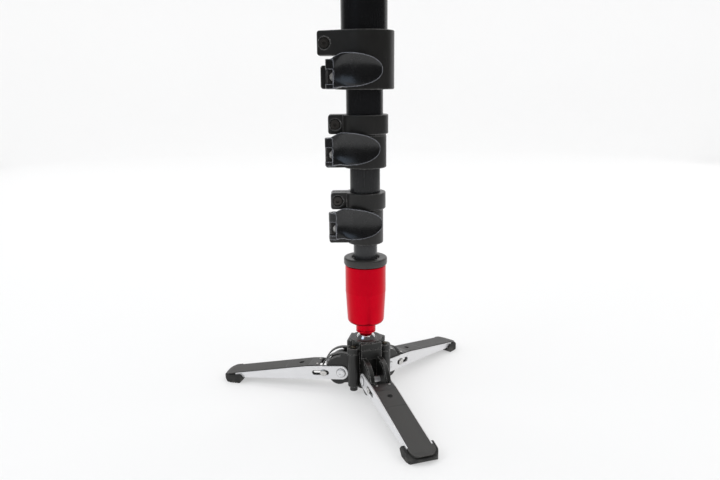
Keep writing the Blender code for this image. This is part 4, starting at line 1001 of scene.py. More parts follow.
cover_inner_reach = 0.0205
plate_knee_reach = 0.0295
plate_knee_rise = 0.0038
plate_tip_reach = 0.0990
plate_tip_top_drop = 0.0086
plate_tip_bottom_drop = 0.0125
cover_thickness = 0.0012
cover_rise = 0.0005
cover_outer_half_width = 0.0103
cover_end_reach = 0.1098
cover_end_drop = 0.0107
shoe_inner_reach = 0.0905
shoe_sole_inner_reach = 0.0945
shoe_sole_outer_reach = 0.1070
shoe_outer_reach = 0.1112
shoe_half_width = 0.0127
shoe_corner_radius = 0.0100
shoe_wing_drop = 0.0128
shoe_end_drop = 0.0136
shoe_floor_thickness = 0.0030
shoe_side_corner = 0.0012
pressed_edge_angle = 50
moulded_edge_angle = 40
plate_bend_start = 0.92
plate_bend_end = 0.25
plate_bend_shares = (0.0, 0.2, 0.4, 0.6, 0.8, 1.0)
cover_bend_start = 0.93
cover_bend_across = 0.58
cover_bend_down = 0.42
cover_bend_shares = (0.25, 0.5, 0.75)
hub_rise = 0.0040
pivot_head_radius = 0.0038
pivot_head_thickness = 0.0009
pivot_dimple_share = 0.45
pivot_ring_thickness = 0.00012
pivot_ring_width = 0.0003
latch_head_radius = 0.0030
latch_head_thickness = 0.0008
latch_dimple_share = 0.3
head_dome_shares = (0.80, 0.62)
head_dome_depths = (0.55, 0.12)
dimple_floor_share = 0.8
dimple_depth_share = 0.3
latch_travel = 0.0080
slot_inner_reach = 0.0110
spring_radius = 0.0023
spring_wire_radius = 0.00035
spring_curls = 5
spring_steps = 24
spring_stop_length = 0.0030
spring_stop_half_width = 0.0036
spring_stop_drop = 0.0028
tread_grooves = 4
lip_inner_radius = 0.0190
lip_outer_reach = 0.0600
lip_drop = 0.0070
lip_thickness = 0.0009
rivet_radius = 0.0010
rivet_height = 0.0005
rivet_reach = 0.0227
rivet_side = 0.0055
rivet_sides = 24
rivet_dome_share = 0.6
gloss_end_reach = 0.0515
pressed_step_reach = 0.0715


def spring_stop_face(leg):
    """Reach of the stop that the latch spring pushes on."""
    return (
        leg.latch_reach + latch_travel + leg.latch_radius
        + 2 * spring_wire_radius * (spring_curls + 2) + spring_stop_length
    )


def plate_inner(hub):
    """Half the distance between a leg's side plates."""
    return hub.cheek_gap / 2 + hub.cheek_thickness + fit_gap


def plate_top(reach, leg):
    """Height of a plate's upper edge above the pivot."""
    if reach <= plate_knee_reach:
        fall = (leg.plate_end_radius - plate_knee_rise) / plate_knee_reach
        return leg.plate_end_radius - fall * reach
    along = (reach - plate_knee_reach) / (plate_tip_reach - plate_knee_reach)
    return plate_knee_rise - along * (plate_knee_rise + plate_tip_top_drop)


def plate_outline(leg):
    """Side view of a plate: round at the pivot and tapered to the shoe."""
    outline = arc((0, 0), leg.plate_end_radius, math.pi / 2, 3 * math.pi / 2)
    knee = [(plate_tip_reach, -plate_tip_bottom_drop), (plate_tip_reach, -plate_tip_top_drop)]
    crown = (plate_knee_reach, plate_knee_rise)
    start = Vector(knee[-1]).lerp(Vector(crown), plate_bend_start)
    end = Vector(crown).lerp(Vector(outline[0]), plate_bend_end)
    bend = [start.lerp(Vector(crown), share).lerp(Vector(crown).lerp(end, share), share)
            for share in plate_bend_shares]
    return outline + knee + [tuple(point) for point in bend]


def slot_outline(leg):
    """Latch slot with two round ends."""
    half = leg.latch_radius + fit_gap
    outer = leg.latch_reach + latch_travel + slot_end_play - fit_gap
    outline = arc((outer, 0), half, -math.pi / 2, math.pi / 2, corner_step)
    return outline + arc((slot_inner_reach + half, 0), half, math.pi / 2, 3 * math.pi / 2, corner_step)


def cover_top_line():
    """Upper side of the cover, from beside the cheeks' rim to its bent end."""
    leg = bpy.context.scene.monopod_leg
    inner = (cover_inner_reach, plate_top(cover_inner_reach, leg) + cover_rise)
    bend = Vector((plate_tip_reach, -plate_tip_top_drop + cover_rise))
    start = Vector((plate_knee_reach, plate_knee_rise + cover_rise))
    end = Vector((cover_end_reach, -cover_end_drop))
    middle = Vector((
        bend.x + (end.x - bend.x) * cover_bend_across, bend.y - (bend.y + cover_end_drop) * cover_bend_down
    ))
    before = start.lerp(bend, cover_bend_start)
    curve = [before.lerp(bend, share).lerp(bend.lerp(middle, share), share) for share in cover_bend_shares]
    return [inner] + [tuple(point) for point in (start, before, *curve, middle, end)]


def below_cover(depth):
    """The cover's upper side moved down, its end drawn in."""
    line = [(reach, height - depth) for reach, height in cover_top_line()]
    line[-1] = (cover_end_reach - depth, line[-1][1])
    return line


def mirrored(half):
    """Both sides of a plan from its +Y half."""
    return half + [(x, -y) for x, y in reversed(half)]


def cover_plan(hub):
    """Plan of the cover, wider past the plates' tips."""
    near = plate_inner(hub) - fit_gap
    far = cover_outer_half_width
    corner = shoe_corner_radius - (shoe_half_width - far)
    widens = plate_tip_reach + fit_gap
    half = [(cover_inner_reach - cut_overrun, near), (widens, near), (widens, far)]
    half += arc((cover_end_reach - corner, far - corner), corner, math.pi / 2, 0)
    return mirrored(half)


def shoe_plan():
    """Plan of the shoe: square at its wings and rounded at the toe."""
    corner = shoe_corner_radius
    half = [(shoe_inner_reach - cut_overrun, shoe_half_width)]
    half += arc((shoe_outer_reach - corner, shoe_half_width - corner), corner, math.pi / 2, 0)
    return mirrored(half)


def shoe_side(hub):
    """Side view of the shoe."""
    sole = -(hub.pivot_height + hub_rise)
    top = below_cover(cover_thickness + fit_gap)
    corners = [
        (shoe_inner_reach, -shoe_wing_drop), (shoe_sole_inner_reach, sole),
        (shoe_sole_outer_reach, sole), (shoe_outer_reach, -shoe_end_drop),
    ]
    return rounded(corners + [(shoe_outer_reach, top[-1][1])] + top[:1:-1], shoe_side_corner)


def lip_outline(leg):
    """Side view of the cover's folded side, behind the plate's slot."""
    top_angle = math.asin(plate_top(lip_inner_radius, leg) / lip_inner_radius)
    low_angle = -math.asin(lip_drop / lip_inner_radius)
    outline = arc((0, 0), lip_inner_radius, top_angle, low_angle)
    far_top = plate_top(lip_outer_reach, leg)
    return outline + [
        (plate_knee_reach + leg.latch_reach / 2, -lip_drop), (lip_outer_reach, far_top - cover_thickness * 2),
        (lip_outer_reach, far_top - cover_thickness / 2),
        (plate_knee_reach, plate_knee_rise - cover_thickness / 2),
    ]


def headed_pin(hub, leg, radius, head_radius, head_thickness, waist_radius, dimple):
    """A pin through both plates, with domed heads outside and a waist between."""
    outer = plate_inner(hub) + leg.plate_thickness
    shoulder = outer + fit_gap
    end = shoulder + head_thickness
    waist = plate_inner(hub) - fit_gap / 2
    half = [(radius, shoulder), (head_radius, shoulder)]
    if waist_radius < radius:
        half = [(waist_radius, waist), (radius, waist)] + half
    low, high = [end - head_thickness * depth for depth in head_dome_depths]
    shoulder_radius, top_radius = [head_radius * share for share in head_dome_shares]
    floor = end - head_thickness * dimple_depth_share
    half += [(head_radius, low), (shoulder_radius, high), (top_radius, end), (dimple, end)]
    half += [(dimple * dimple_floor_share, floor), (0, floor)]
    return turned([(r, -z) for r, z in reversed(half)] + half, head_thickness / 6, small_sides)


class MONOPOD_OT_legs(bpy.types.Operator):
    """Build the three folding legs with their pins, springs and shoes"""

    bl_idname = "monopod.build_legs"
    bl_label = "Legs"

    def execute(self, context):
        hub = context.scene.monopod_hub
        leg = context.scene.monopod_leg
        for name, azimuth in leg_turns.items():
            self.build_plates(hub, leg, name, azimuth)
            self.build_cover(hub, leg, name, azimuth)
            self.build_shoe(hub, leg, name, azimuth)
            self.build_pins(hub, leg, name, azimuth)
            self.build_spring(leg, name, azimuth)
        return {"FINISHED"}

    def build_plates(self, hub, leg, name, azimuth):
        """Bright side plates with their holes and slots."""
        near = plate_inner(hub)
        far = near + leg.plate_thickness
        reach = far + cut_overrun
        for side, low, high in (("left", near, far), ("right", -far, -near)):
            shape = prism(plate_outline(leg), low, high, "Y", rim=leg.plate_thickness / 5)
            plate = add_form(f"plate_form_{name}_{side}", shape, leg_place(azimuth))
            hole = rod(pivot_pin_radius + fit_gap, -reach, reach, small_sides)
            combine(plate, hole, leg_place(azimuth) @ across)
            combine(plate, prism(slot_outline(leg), -reach, reach, "Y"), latch_place(azimuth))
            dress(f"leg_{name}_plate_{side}", plate, "plate_" + name)

    def build_cover(self, hub, leg, name, azimuth):
        """Pressed cover with its hole, side lips and spring stop."""
        side_view = cover_top_line() + below_cover(cover_thickness)[::-1]
        width = shoe_half_width + cut_overrun
        cover = add_form(f"cover_form_{name}", prism(side_view, -width, width, "Y"), leg_place(azimuth))
        deep = hub.pivot_height + hub_rise
        combine(cover, prism(cover_plan(hub), -deep, deep), leg_place(azimuth), "INTERSECT")
        soften(cover, cover_thickness / 3, pressed_edge_angle)
        stop_face = spring_stop_face(leg)
        stop_end = stop_face + spring_stop_length
        rise = stop_end * math.sin(leg.latch_slope) - cover_thickness / 2
        outline = [
            (stop_face, -spring_stop_drop), (stop_end, -spring_stop_drop),
            (stop_end, plate_top(stop_end, leg) + rise), (stop_face, plate_top(stop_face, leg) + rise),
        ]
        stop = prism(outline, -spring_stop_half_width, spring_stop_half_width, "Y")
        combine(cover, stop, latch_place(azimuth), "UNION")
        lip_far = plate_inner(hub) - 2 * fit_gap
        for low, high in both_sides(lip_far - lip_thickness, lip_far):
            combine(cover, prism(lip_outline(leg), low, high, "Y"), leg_place(azimuth), "UNION")
        half = latch_waist_radius + fit_gap
        far = leg.latch_reach + latch_travel + slot_end_play
        track = arc((far, 0), half, -math.pi / 2, math.pi / 2, corner_step)
        track += [(leg.latch_reach, half), (leg.latch_reach, -half)]
        combine(cover, prism(track, -width, width, "Y"), latch_place(azimuth))
        hole_place = leg_place(azimuth) @ shift(leg.cover_hole_reach)
        top = plate_top(leg.cover_hole_reach, leg) + cover_rise
        combine(cover, rod(leg.cover_hole_radius, top - cover_thickness * 1.5, deep, small_sides), hole_place)
        dress(f"leg_{name}_cover", cover, "cover_" + name)
        rise = plate_top(rivet_reach, leg) + cover_rise
        dome = [(0, rise - cover_thickness / 2), (rivet_radius, rise - cover_thickness / 2)]
        dome.append((rivet_radius, rise + rivet_height / 3))
        dome += [(rivet_radius * rivet_dome_share, rise + rivet_height), (0, rise + rivet_height)]
        for side, label in ((rivet_side, "left"), (-rivet_side, "right")):
            place = leg_place(azimuth) @ shift(rivet_reach, side)
            shape = turned(dome, rivet_height / 4, rivet_sides)
            build(f"leg_{name}_cover", shape, "steel", place, trim=f"leg_{name}_cover_rivet_{label}")

    def build_shoe(self, hub, leg, name, azimuth):
        """Rubber shoe with a pocket for the plates and grooves under its sole."""
        place = leg_place(azimuth)
        deep = hub.pivot_height + hub_rise
        width = shoe_half_width + cut_overrun
        shoe = add_form(f"shoe_form_{name}", prism(shoe_side(hub), -width, width, "Y"), place)
        combine(shoe, prism(shoe_plan(), -deep - cut_overrun, deep), place, "INTERSECT")
        soften(shoe, leg.shoe_edge, moulded_edge_angle)
        half = plate_inner(hub) + leg.plate_thickness + fit_gap
        start = shoe_inner_reach - cut_overrun
        end = plate_tip_reach + fit_gap
        outline = [(start, -half), (end, -half), (end, half), (start, half)]
        pocket = prism(outline, -deep + shoe_floor_thickness, cut_overrun)
        combine(shoe, pocket, place)
        spacing = (shoe_sole_outer_reach - shoe_sole_inner_reach) / (tread_grooves + 1)
        for index in range(1, tread_grooves + 1):
            middle = shoe_sole_inner_reach + spacing * index
            near, far = middle - spacing / 6, middle + spacing / 6
            outline = [
                (near, -deep - cut_overrun), (far, -deep - cut_overrun),
                (far, -deep), (middle, -deep + leg.tread_depth), (near, -deep),
            ]
            combine(shoe, prism(outline, -width, width, "Y"), place)
        dress(f"leg_{name}_shoe", shoe, "shoe")

    def build_pins(self, hub, leg, name, azimuth):
        """Pivot rivet and latch pin."""
        pivot = headed_pin(
            hub, leg, pivot_pin_radius, pivot_head_radius, pivot_head_thickness, pivot_pin_radius,
            pivot_head_radius * pivot_dimple_share,
        )
        place = leg_place(azimuth) @ across
        build(f"leg_{name}_pivot_pin", pivot, "plate_" + name, place)
        outer = plate_inner(hub) + leg.plate_thickness
        for sign, label in ((1, "left"), (-1, "right")):
            low, high = sorted((sign * (outer - pivot_ring_thickness), sign * (outer + pivot_ring_thickness)))
            inner = pivot_head_radius + pivot_ring_thickness
            ring = pipe(inner + pivot_ring_width, inner, -high, -low, pivot_ring_thickness / 2, small_sides)
            build(f"leg_{name}_plate_{label}", ring, "screw", place, trim=f"leg_{name}_pivot_ring_{label}")
        latch = headed_pin(
            hub, leg, leg.latch_radius, latch_head_radius, latch_head_thickness, latch_waist_radius,
            latch_head_radius * latch_dimple_share,
        )
        place = latch_place(azimuth) @ shift(leg.latch_reach) @ across
        build(f"leg_{name}_latch_pin", latch, "steel", place)

    def build_spring(self, leg, name, azimuth):
        """Coil spring between the latch pin and its stop."""
        start = leg.latch_reach + latch_waist_radius + fit_gap
        end = spring_stop_face(leg) - fit_gap
        straight = 2 * spring_wire_radius
        points = [Vector((start, spring_radius, 0))]
        for index in range(spring_curls * spring_steps + 1):
            turn = math.tau * index / spring_steps
            along = start + straight + (end - start - 2 * straight) * index / (spring_curls * spring_steps)
            points.append(Vector((along, spring_radius * math.cos(turn), spring_radius * math.sin(turn))))
        points.append(Vector((end, spring_radius, 0)))
        place = latch_place(azimuth)
        form = build(f"leg_{name}_latch_spring", sweep(points, spring_wire_radius), "spring", place)
        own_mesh(form)


# Ball, cartridge and tubes

seat_play = 0.0004
seat_high_angle = math.radians(-10)
seat_low_angle = math.radians(-60)
collar_swell = 1.18
collar_heights = (1.6, 1.3, 0.5, 0.25)
neck_groove_share = 0.975
neck_groove_heights = (0.16, 0.19, 0.25, 0.28)
rotor_radius = 0.0122
rotor_length = 0.0150
neck_radius = 0.0085
neck_height = 0.0084
cartridge_bottom = 0.0592
cartridge_foot_radius = 0.0129
cartridge_corner_height = 0.0036
cartridge_low_radius = 0.0158
cartridge_belly = 0.0870
cartridge_bore_radius = 0.0127
cartridge_floor = 0.0030
cap_height = 0.0064
cap_well_radius = 0.0122
cap_well_depth = 0.0022
cap_sleeve_wall = 0.0019
cap_rounding_share = 0.8
bush_ribs = 3
bush_rib_end = 0.80
bush_groove_span = (0.82, 0.98)


class MONOPOD_OT_ball_joint(bpy.types.Operator):
    """Build the chrome ball with its stem, and the ball's seat"""

    bl_idname = "monopod.build_ball_joint"
    bl_label = "Ball joint"

    def execute(self, context):
        column = context.scene.monopod_column
        centre = (0, column.ball_height)
        stem_start = math.acos(column.stem_radius / column.ball_radius)
        stem_foot = column.ball_height + column.ball_radius * math.sin(stem_start)
        neck = node_bottom("cartridge_body")
        rotor_bottom = cartridge_bottom + cartridge_floor + fit_gap
        profile = [(0, column.ball_height - column.ball_radius)]
        profile += arc(centre, column.ball_radius, -math.pi / 2, stem_start)[1:]
        collar = (neck - stem_foot) / 3
        stem, swell = column.stem_radius, column.stem_radius * collar_swell
        heights = [neck - collar * share for share in collar_heights]
        profile += rounded([
            (stem, stem_foot), (stem, heights[0]), (swell, heights[1]), (swell, heights[2]),
            (stem, heights[3]), (stem, rotor_bottom),
            (rotor_radius, rotor_bottom), (rotor_radius, rotor_bottom + rotor_length),
            (0, rotor_bottom + rotor_length),
        ], collar / 6, closed=False)[1:]
        build("ball_stud", lathe(profile), "chrome")
        inner = column.ball_radius + seat_play
        outer = node_radius("ball_seat")
        profile = arc(centre, outer, seat_low_angle, seat_high_angle)
        profile += arc(centre, inner, seat_high_angle, seat_low_angle)
        build("ball_seat", lathe(profile, ring=True), "bearing")
        return {"FINISHED"}


class MONOPOD_OT_cartridge(bpy.types.Operator):
    """Build the red damped cartridge and its black cap"""

    bl_idname = "monopod.build_cartridge"
    bl_label = "Cartridge"

    def execute(self, context):
        column = context.scene.monopod_column
        radius = node_radius("cartridge_body")
        top = node_top("cartridge_body")
        bottom = node_bottom("cartridge_body")
        stem_bore = column.stem_radius + fit_gap
        floor = cartridge_bottom + cartridge_floor
        squash = (cartridge_low_radius - cartridge_foot_radius) / cartridge_corner_height
        corner_middle = (0, cartridge_bottom + cartridge_corner_height)
        corner = arc(corner_middle, cartridge_corner_height, -math.pi / 2, 0)
        corner = [(cartridge_foot_radius + r * squash, z) for r, z in corner]
        neck_top = bottom + neck_height
        groove = neck_radius * neck_groove_share
        heights = [bottom + neck_height * share for share in neck_groove_heights]
        profile = rounded([
            (stem_bore, bottom), (neck_radius, bottom), (neck_radius, heights[0]), (groove, heights[1]),
            (groove, heights[2]), (neck_radius, heights[3]), (neck_radius, neck_top - fit_gap),
            (neck_radius + fit_gap * 2, cartridge_bottom),
        ], fit_gap, closed=False)
        profile += corner
        profile += rounded([
            (radius - fit_gap / 2, cartridge_belly - fit_gap), (radius, cartridge_belly),
            (radius, top), (cartridge_bore_radius, top), (cartridge_bore_radius, floor), (stem_bore, floor),
        ], column.cartridge_edge, closed=False)
        build("cartridge_body", lathe(profile, ring=True), "cartridge")
        self.build_cap(column, top + fit_gap)
        return {"FINISHED"}

    def build_cap(self, column, seat):
        """Black ring that grips the lowest tube, with a well round it."""
        radius = node_radius("cartridge_cap")
        top = seat + cap_height
        bore = node_radius("tube_4") + fit_gap
        sleeve = bore + cap_sleeve_wall
        well = top - cap_well_depth
        inner = [(bore, node_bottom("cartridge_cap")), (sleeve, node_bottom("cartridge_cap"))]
        rim = rounded([
            (sleeve, seat), (radius - column.cap_edge / 4, seat), (radius, seat + column.cap_edge),
            (radius, top), (cap_well_radius, top), (cap_well_radius - column.cap_edge / 2, well),
            (bore, well),
        ], column.cap_edge * cap_rounding_share, closed=False)
        build("cartridge_cap", lathe(inner + rim, ring=True), "cap")


class MONOPOD_OT_tubes(bpy.types.Operator):
    """Build the four column tubes, their bushes and the clamps' liners"""

    bl_idname = "monopod.build_tubes"
    bl_label = "Tubes"

    def execute(self, context):
        column = context.scene.monopod_column
        for number in (1, 2, 3, 4):
            node = f"tube_{number}"
            outer = node_radius(node)
            low, high = node_bottom(node), node_top(node)
            shape = pipe(outer, outer - column.tube_wall, low, high, column.tube_edge)
            build(node, shape, node)
            if number > 1:
                self.build_bush(column, number, outer)
        for tag, number in tube_of_clamp.items():
            node = f"clamp_{tag}_liner"
            inner = node_radius(f"tube_{number + 1}") + fit_gap
            shape = pipe(node_radius(node), inner, node_bottom(node), node_top(node), column.tube_edge)
            build(node, shape, "guide")
        return {"FINISHED"}

    def build_bush(self, column, number, inner):
        """Ribbed guide on a tube's upper end."""
        node = f"tube_{number}_bush"
        outer = node_radius(node)
        low, high = node_bottom(node), node_top(node)
        pitch = (high - low) / bush_ribs
        outside = []
        for index in range(bush_ribs):
            base = low + pitch * index
            outside += [(outer, base), (outer, base + pitch * bush_rib_end)]
            if index < bush_ribs - 1:
                outside += [(outer - column.tube_edge, base + pitch * share) for share in bush_groove_span]
        outside[-1] = (outer, high)
        profile = [(inner + fit_gap, low)] + outside + [(inner + fit_gap, high)]
        build(node, lathe(profile, ring=True), "guide")


# Clamps and levers

lower_radii = {"a": 0.0239, "b": 0.0177, "c": 0.0151}
upper_radii = {"a": 0.0239, "b": 0.0192, "c": 0.0171}
lower_heights = {"a": 0.0249, "b": 0.0262, "c": 0.0282}
ear_reaches = {"a": 0.0373, "b": 0.0297, "c": 0.0285}
rear_overhangs = {"a": 0.0092, "b": 0.0046, "c": 0.0046}
front_overhang = 0.0046
slit_reach = 0.0120
band_groove = 0.0003
ear_face_corner = 0.0023
ear_split = 0.0014
ear_screw_inset = 0.0058
ear_screw_radius = 0.0020
ear_screw_depth = 0.0028
ear_seat_margin = 0.0006
ear_seat_rise = 0.0080
screw_socket_radius = 0.0018
screw_socket_depth = 0.0022
screw_edge = 0.0004
seat_edge = 0.0001
lower_ear_drop = 0.0045
lower_ear_corner_share = 0.6
lever_root_height = 0.0226
lever_curve_across = 0.0260
lever_curve_back = 0.0175
lever_inner_radius = 0.0255
lever_root_thickness = 0.0070
lever_root_lift = 0.0016
lever_root_angle = math.radians(-54)
lever_tip_angle = math.radians(28.5)
lever_paddle_rise = 0.0031
lever_cam_radius = 0.0046
lever_pin_radius = 0.0017
lever_pin_edge = 0.0003
lever_cam_edge = 0.0005
lever_widest_share = 0.32
lever_end_share = 1.003
lever_root_blend_share = 0.20
lever_thinning_share = 0.55
lever_tip_share = 0.60
dish_start_share = 0.06
dish_length_share = 0.915
dish_width_share = 0.93
dish_face_share = 0.85
dish_power = 0.7
lever_stations = 44
lever_smooth_angle = math.radians(38)
eye_outer_radius = 0.0034
eye_height = 0.0106
eye_slot_height = 0.0112
eye_drop = 0.0020
eye_notch = ((-0.0026, -0.0003), (0.0016, 0.0042), (0.0016, -0.0044))
eye_window_reach = 0.0012
bolt_radius = 0.0018
bolt_nut_radius = 0.0030
bolt_nut_length = 0.0032
bolt_nut_share = 0.8
bolt_edge = 0.0003
eye_edge = 0.0005

# Cross-section of a lever, round from its inner face: half-height and thickness shares
lever_section_shares = (
    (0.00, 0.00), (0.55, 0.00), (0.88, 0.03), (0.98, 0.16), (1.00, 0.40), (0.998, 0.70), (0.985, 0.90),
    (0.965, 0.98), (0.94, 1.00), (0.91, 0.995), (0.87, 0.985), (0.82, 0.98), (0.75, 0.97), (0.66, 0.96),
    (0.55, 0.95), (0.42, 0.94), (0.28, 0.94), (0.14, 0.94), (0.00, 0.94),
)


def lever_pin_spot(tag):
    """Middle of a lever's pin."""
    low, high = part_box(f"lever_{tag}_pin")
    return (low + high) / 2


def band_outline(radius, reach, half_depth, tangent, corner):
    """Plan of a clamp band: a collar with an ear towards -X, which a tangent collar runs straight into."""
    if tangent:
        corner_x = reach - corner
        far = math.hypot(corner_x, half_depth)
        meet = math.pi - math.atan2(half_depth, corner_x) - math.acos(radius / far)
    else:
        meet = math.pi - math.asin(half_depth / radius)
    outline = arc((0, 0), radius, -meet, meet)
    outline += arc((-reach + corner, half_depth - corner), corner, math.pi / 2, math.pi, corner_step)
    outline += arc((-reach + corner, -half_depth + corner), corner, math.pi, 3 * math.pi / 2, corner_step)
    return outline


def lower_ear_outline(tag, pin, back, corner):
    """Plan of the two ears that the bolt pulls together."""
    front = pin.y + lever_cam_radius + fit_gap
    front_reach = -pin.x + front_overhang
    rear_reach = -pin.x + rear_overhangs[tag]
    outline = [(0, front), (0, back), (-rear_reach, back)]
    if rear_reach > front_reach:
        outline += [(-rear_reach, 0), (-front_reach, 0)]
    outline.append((-front_reach, front))
    return rounded(outline, corner * lower_ear_corner_share)


def ear_front(left, low, high):
    """Front view that rounds an ear's outer corners."""
    corner = ear_face_corner
    right = -left
    outline = [(right, low), (right, high)]
    outline += arc((left + corner, high - corner), corner, math.pi / 2, math.pi, corner_step)
    return outline + arc((left + corner, low + corner), corner, math.pi, 3 * math.pi / 2, corner_step)


def eye_slot_outline():
    """Plan of the lever's slot round the bolt's eye."""
    side = eye_outer_radius + fit_gap
    edge_angle = math.acos(eye_window_reach / side)
    outline = [(-side * 2, side * 2), (-side * 2, -side * 2), (eye_window_reach, -side * 2)]
    outline += arc((0, 0), side, -edge_angle, 0)
    return outline + [(side, side * 2)]


def lever_ring(share, clamp):
    """One cross-section of the lever at a share of the way from root to tip."""
    angle = lever_root_angle + (lever_tip_angle - lever_root_angle) * share
    root = max(0.0, 1 - share / lever_root_blend_share)
    root_half = lever_root_height / 2
    if share < lever_widest_share:
        swell = math.sin(math.pi / 2 * share / lever_widest_share)
        half_height = root_half + (clamp.paddle_half_height - root_half) * swell
    else:
        beyond = (share - lever_widest_share) / (lever_end_share - lever_widest_share)
        half_height = clamp.paddle_half_height * math.sqrt(max(0.0, 1 - beyond ** 2))
    inner = lever_inner_radius + lever_root_lift * root
    thickness = clamp.lever_thickness * (1 - root) + lever_root_thickness * root
    toward_tip = max(0.0, (share - lever_thinning_share) / (1 - lever_thinning_share))
    thickness *= 1 - (1 - lever_tip_share) * toward_tip ** 2
    along = (share - dish_start_share) / dish_length_share * 2 - 1
    ring = list(lever_section_shares) + [(-a, b) for a, b in reversed(lever_section_shares[1:-1])]
    points = []
    for height_share, depth_share in ring:
        depth = depth_share
        if depth_share > dish_face_share:
            real_height = height_share * half_height / clamp.paddle_half_height
            spread = (real_height / dish_width_share) ** 2 + along ** 2
            depth -= clamp.dish_share * max(0.0, 1 - spread) ** dish_power
        radius = inner + thickness * depth
        points.append(Vector((
            lever_curve_across + radius * math.sin(angle),
            lever_curve_back - radius * math.cos(angle),
            lever_paddle_rise * (1 - root) + half_height * height_share,
        )))
    return points


class MONOPOD_OT_clamps(bpy.types.Operator):
    """Build the three clamps with their socket screws and eye bolts"""

    bl_idname = "monopod.build_clamps"
    bl_label = "Clamps"

    def execute(self, context):
        clamp = context.scene.monopod_clamp
        for tag, number in tube_of_clamp.items():
            self.build_body(clamp, tag, number)
            self.build_bolt(clamp, tag)
        return {"FINISHED"}

    def build_body(self, clamp, tag, number):
        """Two bands with their ears, slit, split and screw seat."""
        node = f"clamp_{tag}_body"
        low, top = node_bottom(node), node_top(node)
        split = low + lower_heights[tag]
        inner_tube = node_radius(f"tube_{number + 1}")
        reach = ear_reaches[tag]
        back = clamp.ear_half_depth
        pin = lever_pin_spot(tag)
        outline = band_outline(upper_radii[tag], reach, back, tag == "a", clamp.ear_corner)
        body = add_form(f"clamp_form_{tag}", prism(outline, split + clamp.slit, top, rim=clamp.edge))
        front = prism(ear_front(-reach, split + clamp.slit, top), -reach, reach, "Y")
        combine(body, front, operation="INTERSECT")
        ear_top = pin.z + lever_root_height / 2 - lower_ear_drop
        plan = lower_ear_outline(tag, pin, back, clamp.ear_corner)
        ears = add_form(
            f"ears_form_{tag}", prism(plan, low + clamp.edge / 2, ear_top, rim=clamp.edge / 2)
        )
        left = min(corner[0] for corner in plan)
        front = prism(ear_front(left, low + clamp.edge / 2, ear_top), -reach, reach, "Y")
        combine(ears, front, operation="INTERSECT")
        shape = bmesh.new()
        shape.from_mesh(ears.data)
        bpy.data.objects.remove(ears, do_unlink=True)
        combine(body, shape, operation="UNION")
        combine(body, rod(lower_radii[tag], low, split, edge=clamp.edge), operation="UNION")
        groove = band_groove if lower_radii[tag] < upper_radii[tag] else band_groove / 6
        joint_radius = min(lower_radii[tag], upper_radii[tag]) - groove
        joint = rod(joint_radius, low + clamp.edge * 2, top - clamp.edge * 2)
        combine(body, joint, operation="UNION")
        bore = node_radius(f"tube_{number}") + fit_gap
        combine(body, rod(bore, split + clamp.slit / 2, top + cut_overrun))
        lower_bore = node_radius(f"clamp_{tag}_liner") + fit_gap
        combine(body, rod(lower_bore, low - cut_overrun, split + clamp.slit / 2 + cut_overrun / 2))
        far = reach + cut_overrun * 2
        half = ear_split / 2
        cut = [(-far, -half), (-inner_tube, -half), (-inner_tube, half), (-far, half)]
        combine(body, prism(cut, low - cut_overrun, top + cut_overrun))
        slit_end = slit_reach / 4 if tag == "a" else slit_reach
        cut = [(-far, -far), (slit_end, -far), (slit_end, far), (-far, far)]
        combine(body, prism(cut, split + fit_gap, split + clamp.slit - fit_gap))
        screw_place = shift(-reach + ear_screw_inset, -back, (split + clamp.slit + top) / 2) @ to_back
        combine(body, rod(ear_screw_radius + fit_gap, 0, back * 2 + cut_overrun, small_sides), screw_place)
        seat = turned([
            (0, -ear_seat_rise), (clamp.screw_radius + ear_seat_margin * 2, -ear_seat_rise),
            (clamp.screw_radius + ear_seat_margin * 2, 0),
            (clamp.screw_radius + ear_seat_margin, ear_seat_margin * 0.8),
            (clamp.screw_radius + ear_seat_margin, ear_screw_depth + fit_gap),
            (0, ear_screw_depth + fit_gap),
        ], seat_edge, small_sides)
        combine(body, seat, screw_place)
        bolt_place = shift(pin.x, pin.y, pin.z - eye_drop) @ to_back
        combine(body, rod(bolt_radius + fit_gap, 0, back - pin.y + cut_overrun, small_sides), bolt_place)
        dress(node, body, "casting")
        self.build_screw(clamp, tag, back, screw_place)

    def build_screw(self, clamp, tag, back, place):
        """Socket-head screw across an ear."""
        end = back * 2 - fit_gap
        corners = [
            (0, fit_gap), (clamp.screw_radius, fit_gap), (clamp.screw_radius, ear_screw_depth),
            (ear_screw_radius, ear_screw_depth), (ear_screw_radius, end), (0, end),
        ]
        screw = add_form(f"screw_form_{tag}", turned(corners, screw_edge, small_sides), place)
        combine(screw, prism(hexagon(screw_socket_radius), -cut_overrun, screw_socket_depth), place)
        dress(f"clamp_{tag}_screw", screw, "screw")

    def build_bolt(self, clamp, tag):
        """Bolt with the eye that a lever's pin goes through, and its nut."""
        pin = lever_pin_spot(tag)
        inner = lever_pin_radius + fit_gap
        spot = shift(pin.x, pin.y, pin.z - eye_drop)
        eye = pipe(eye_outer_radius, inner, -eye_height / 2, eye_height / 2, eye_edge, small_sides)
        bolt = add_form(f"bolt_form_{tag}", eye, spot)
        nut_start = clamp.ear_half_depth - pin.y + fit_gap
        nut_end = nut_start + bolt_nut_length * bolt_nut_share
        shank_end = nut_start + bolt_nut_length
        shank = rod(bolt_radius, (eye_outer_radius + inner) / 2, shank_end, small_sides, edge=bolt_edge)
        combine(bolt, shank, spot @ to_back, "UNION")
        nut = prism(hexagon(bolt_nut_radius), nut_start, nut_end, rim=bolt_edge)
        combine(bolt, nut, spot @ to_back, "UNION")
        combine(bolt, prism(eye_notch, -eye_outer_radius * 2, 0, "Y"), spot)
        dress(f"clamp_{tag}_bolt", bolt, "bolt")


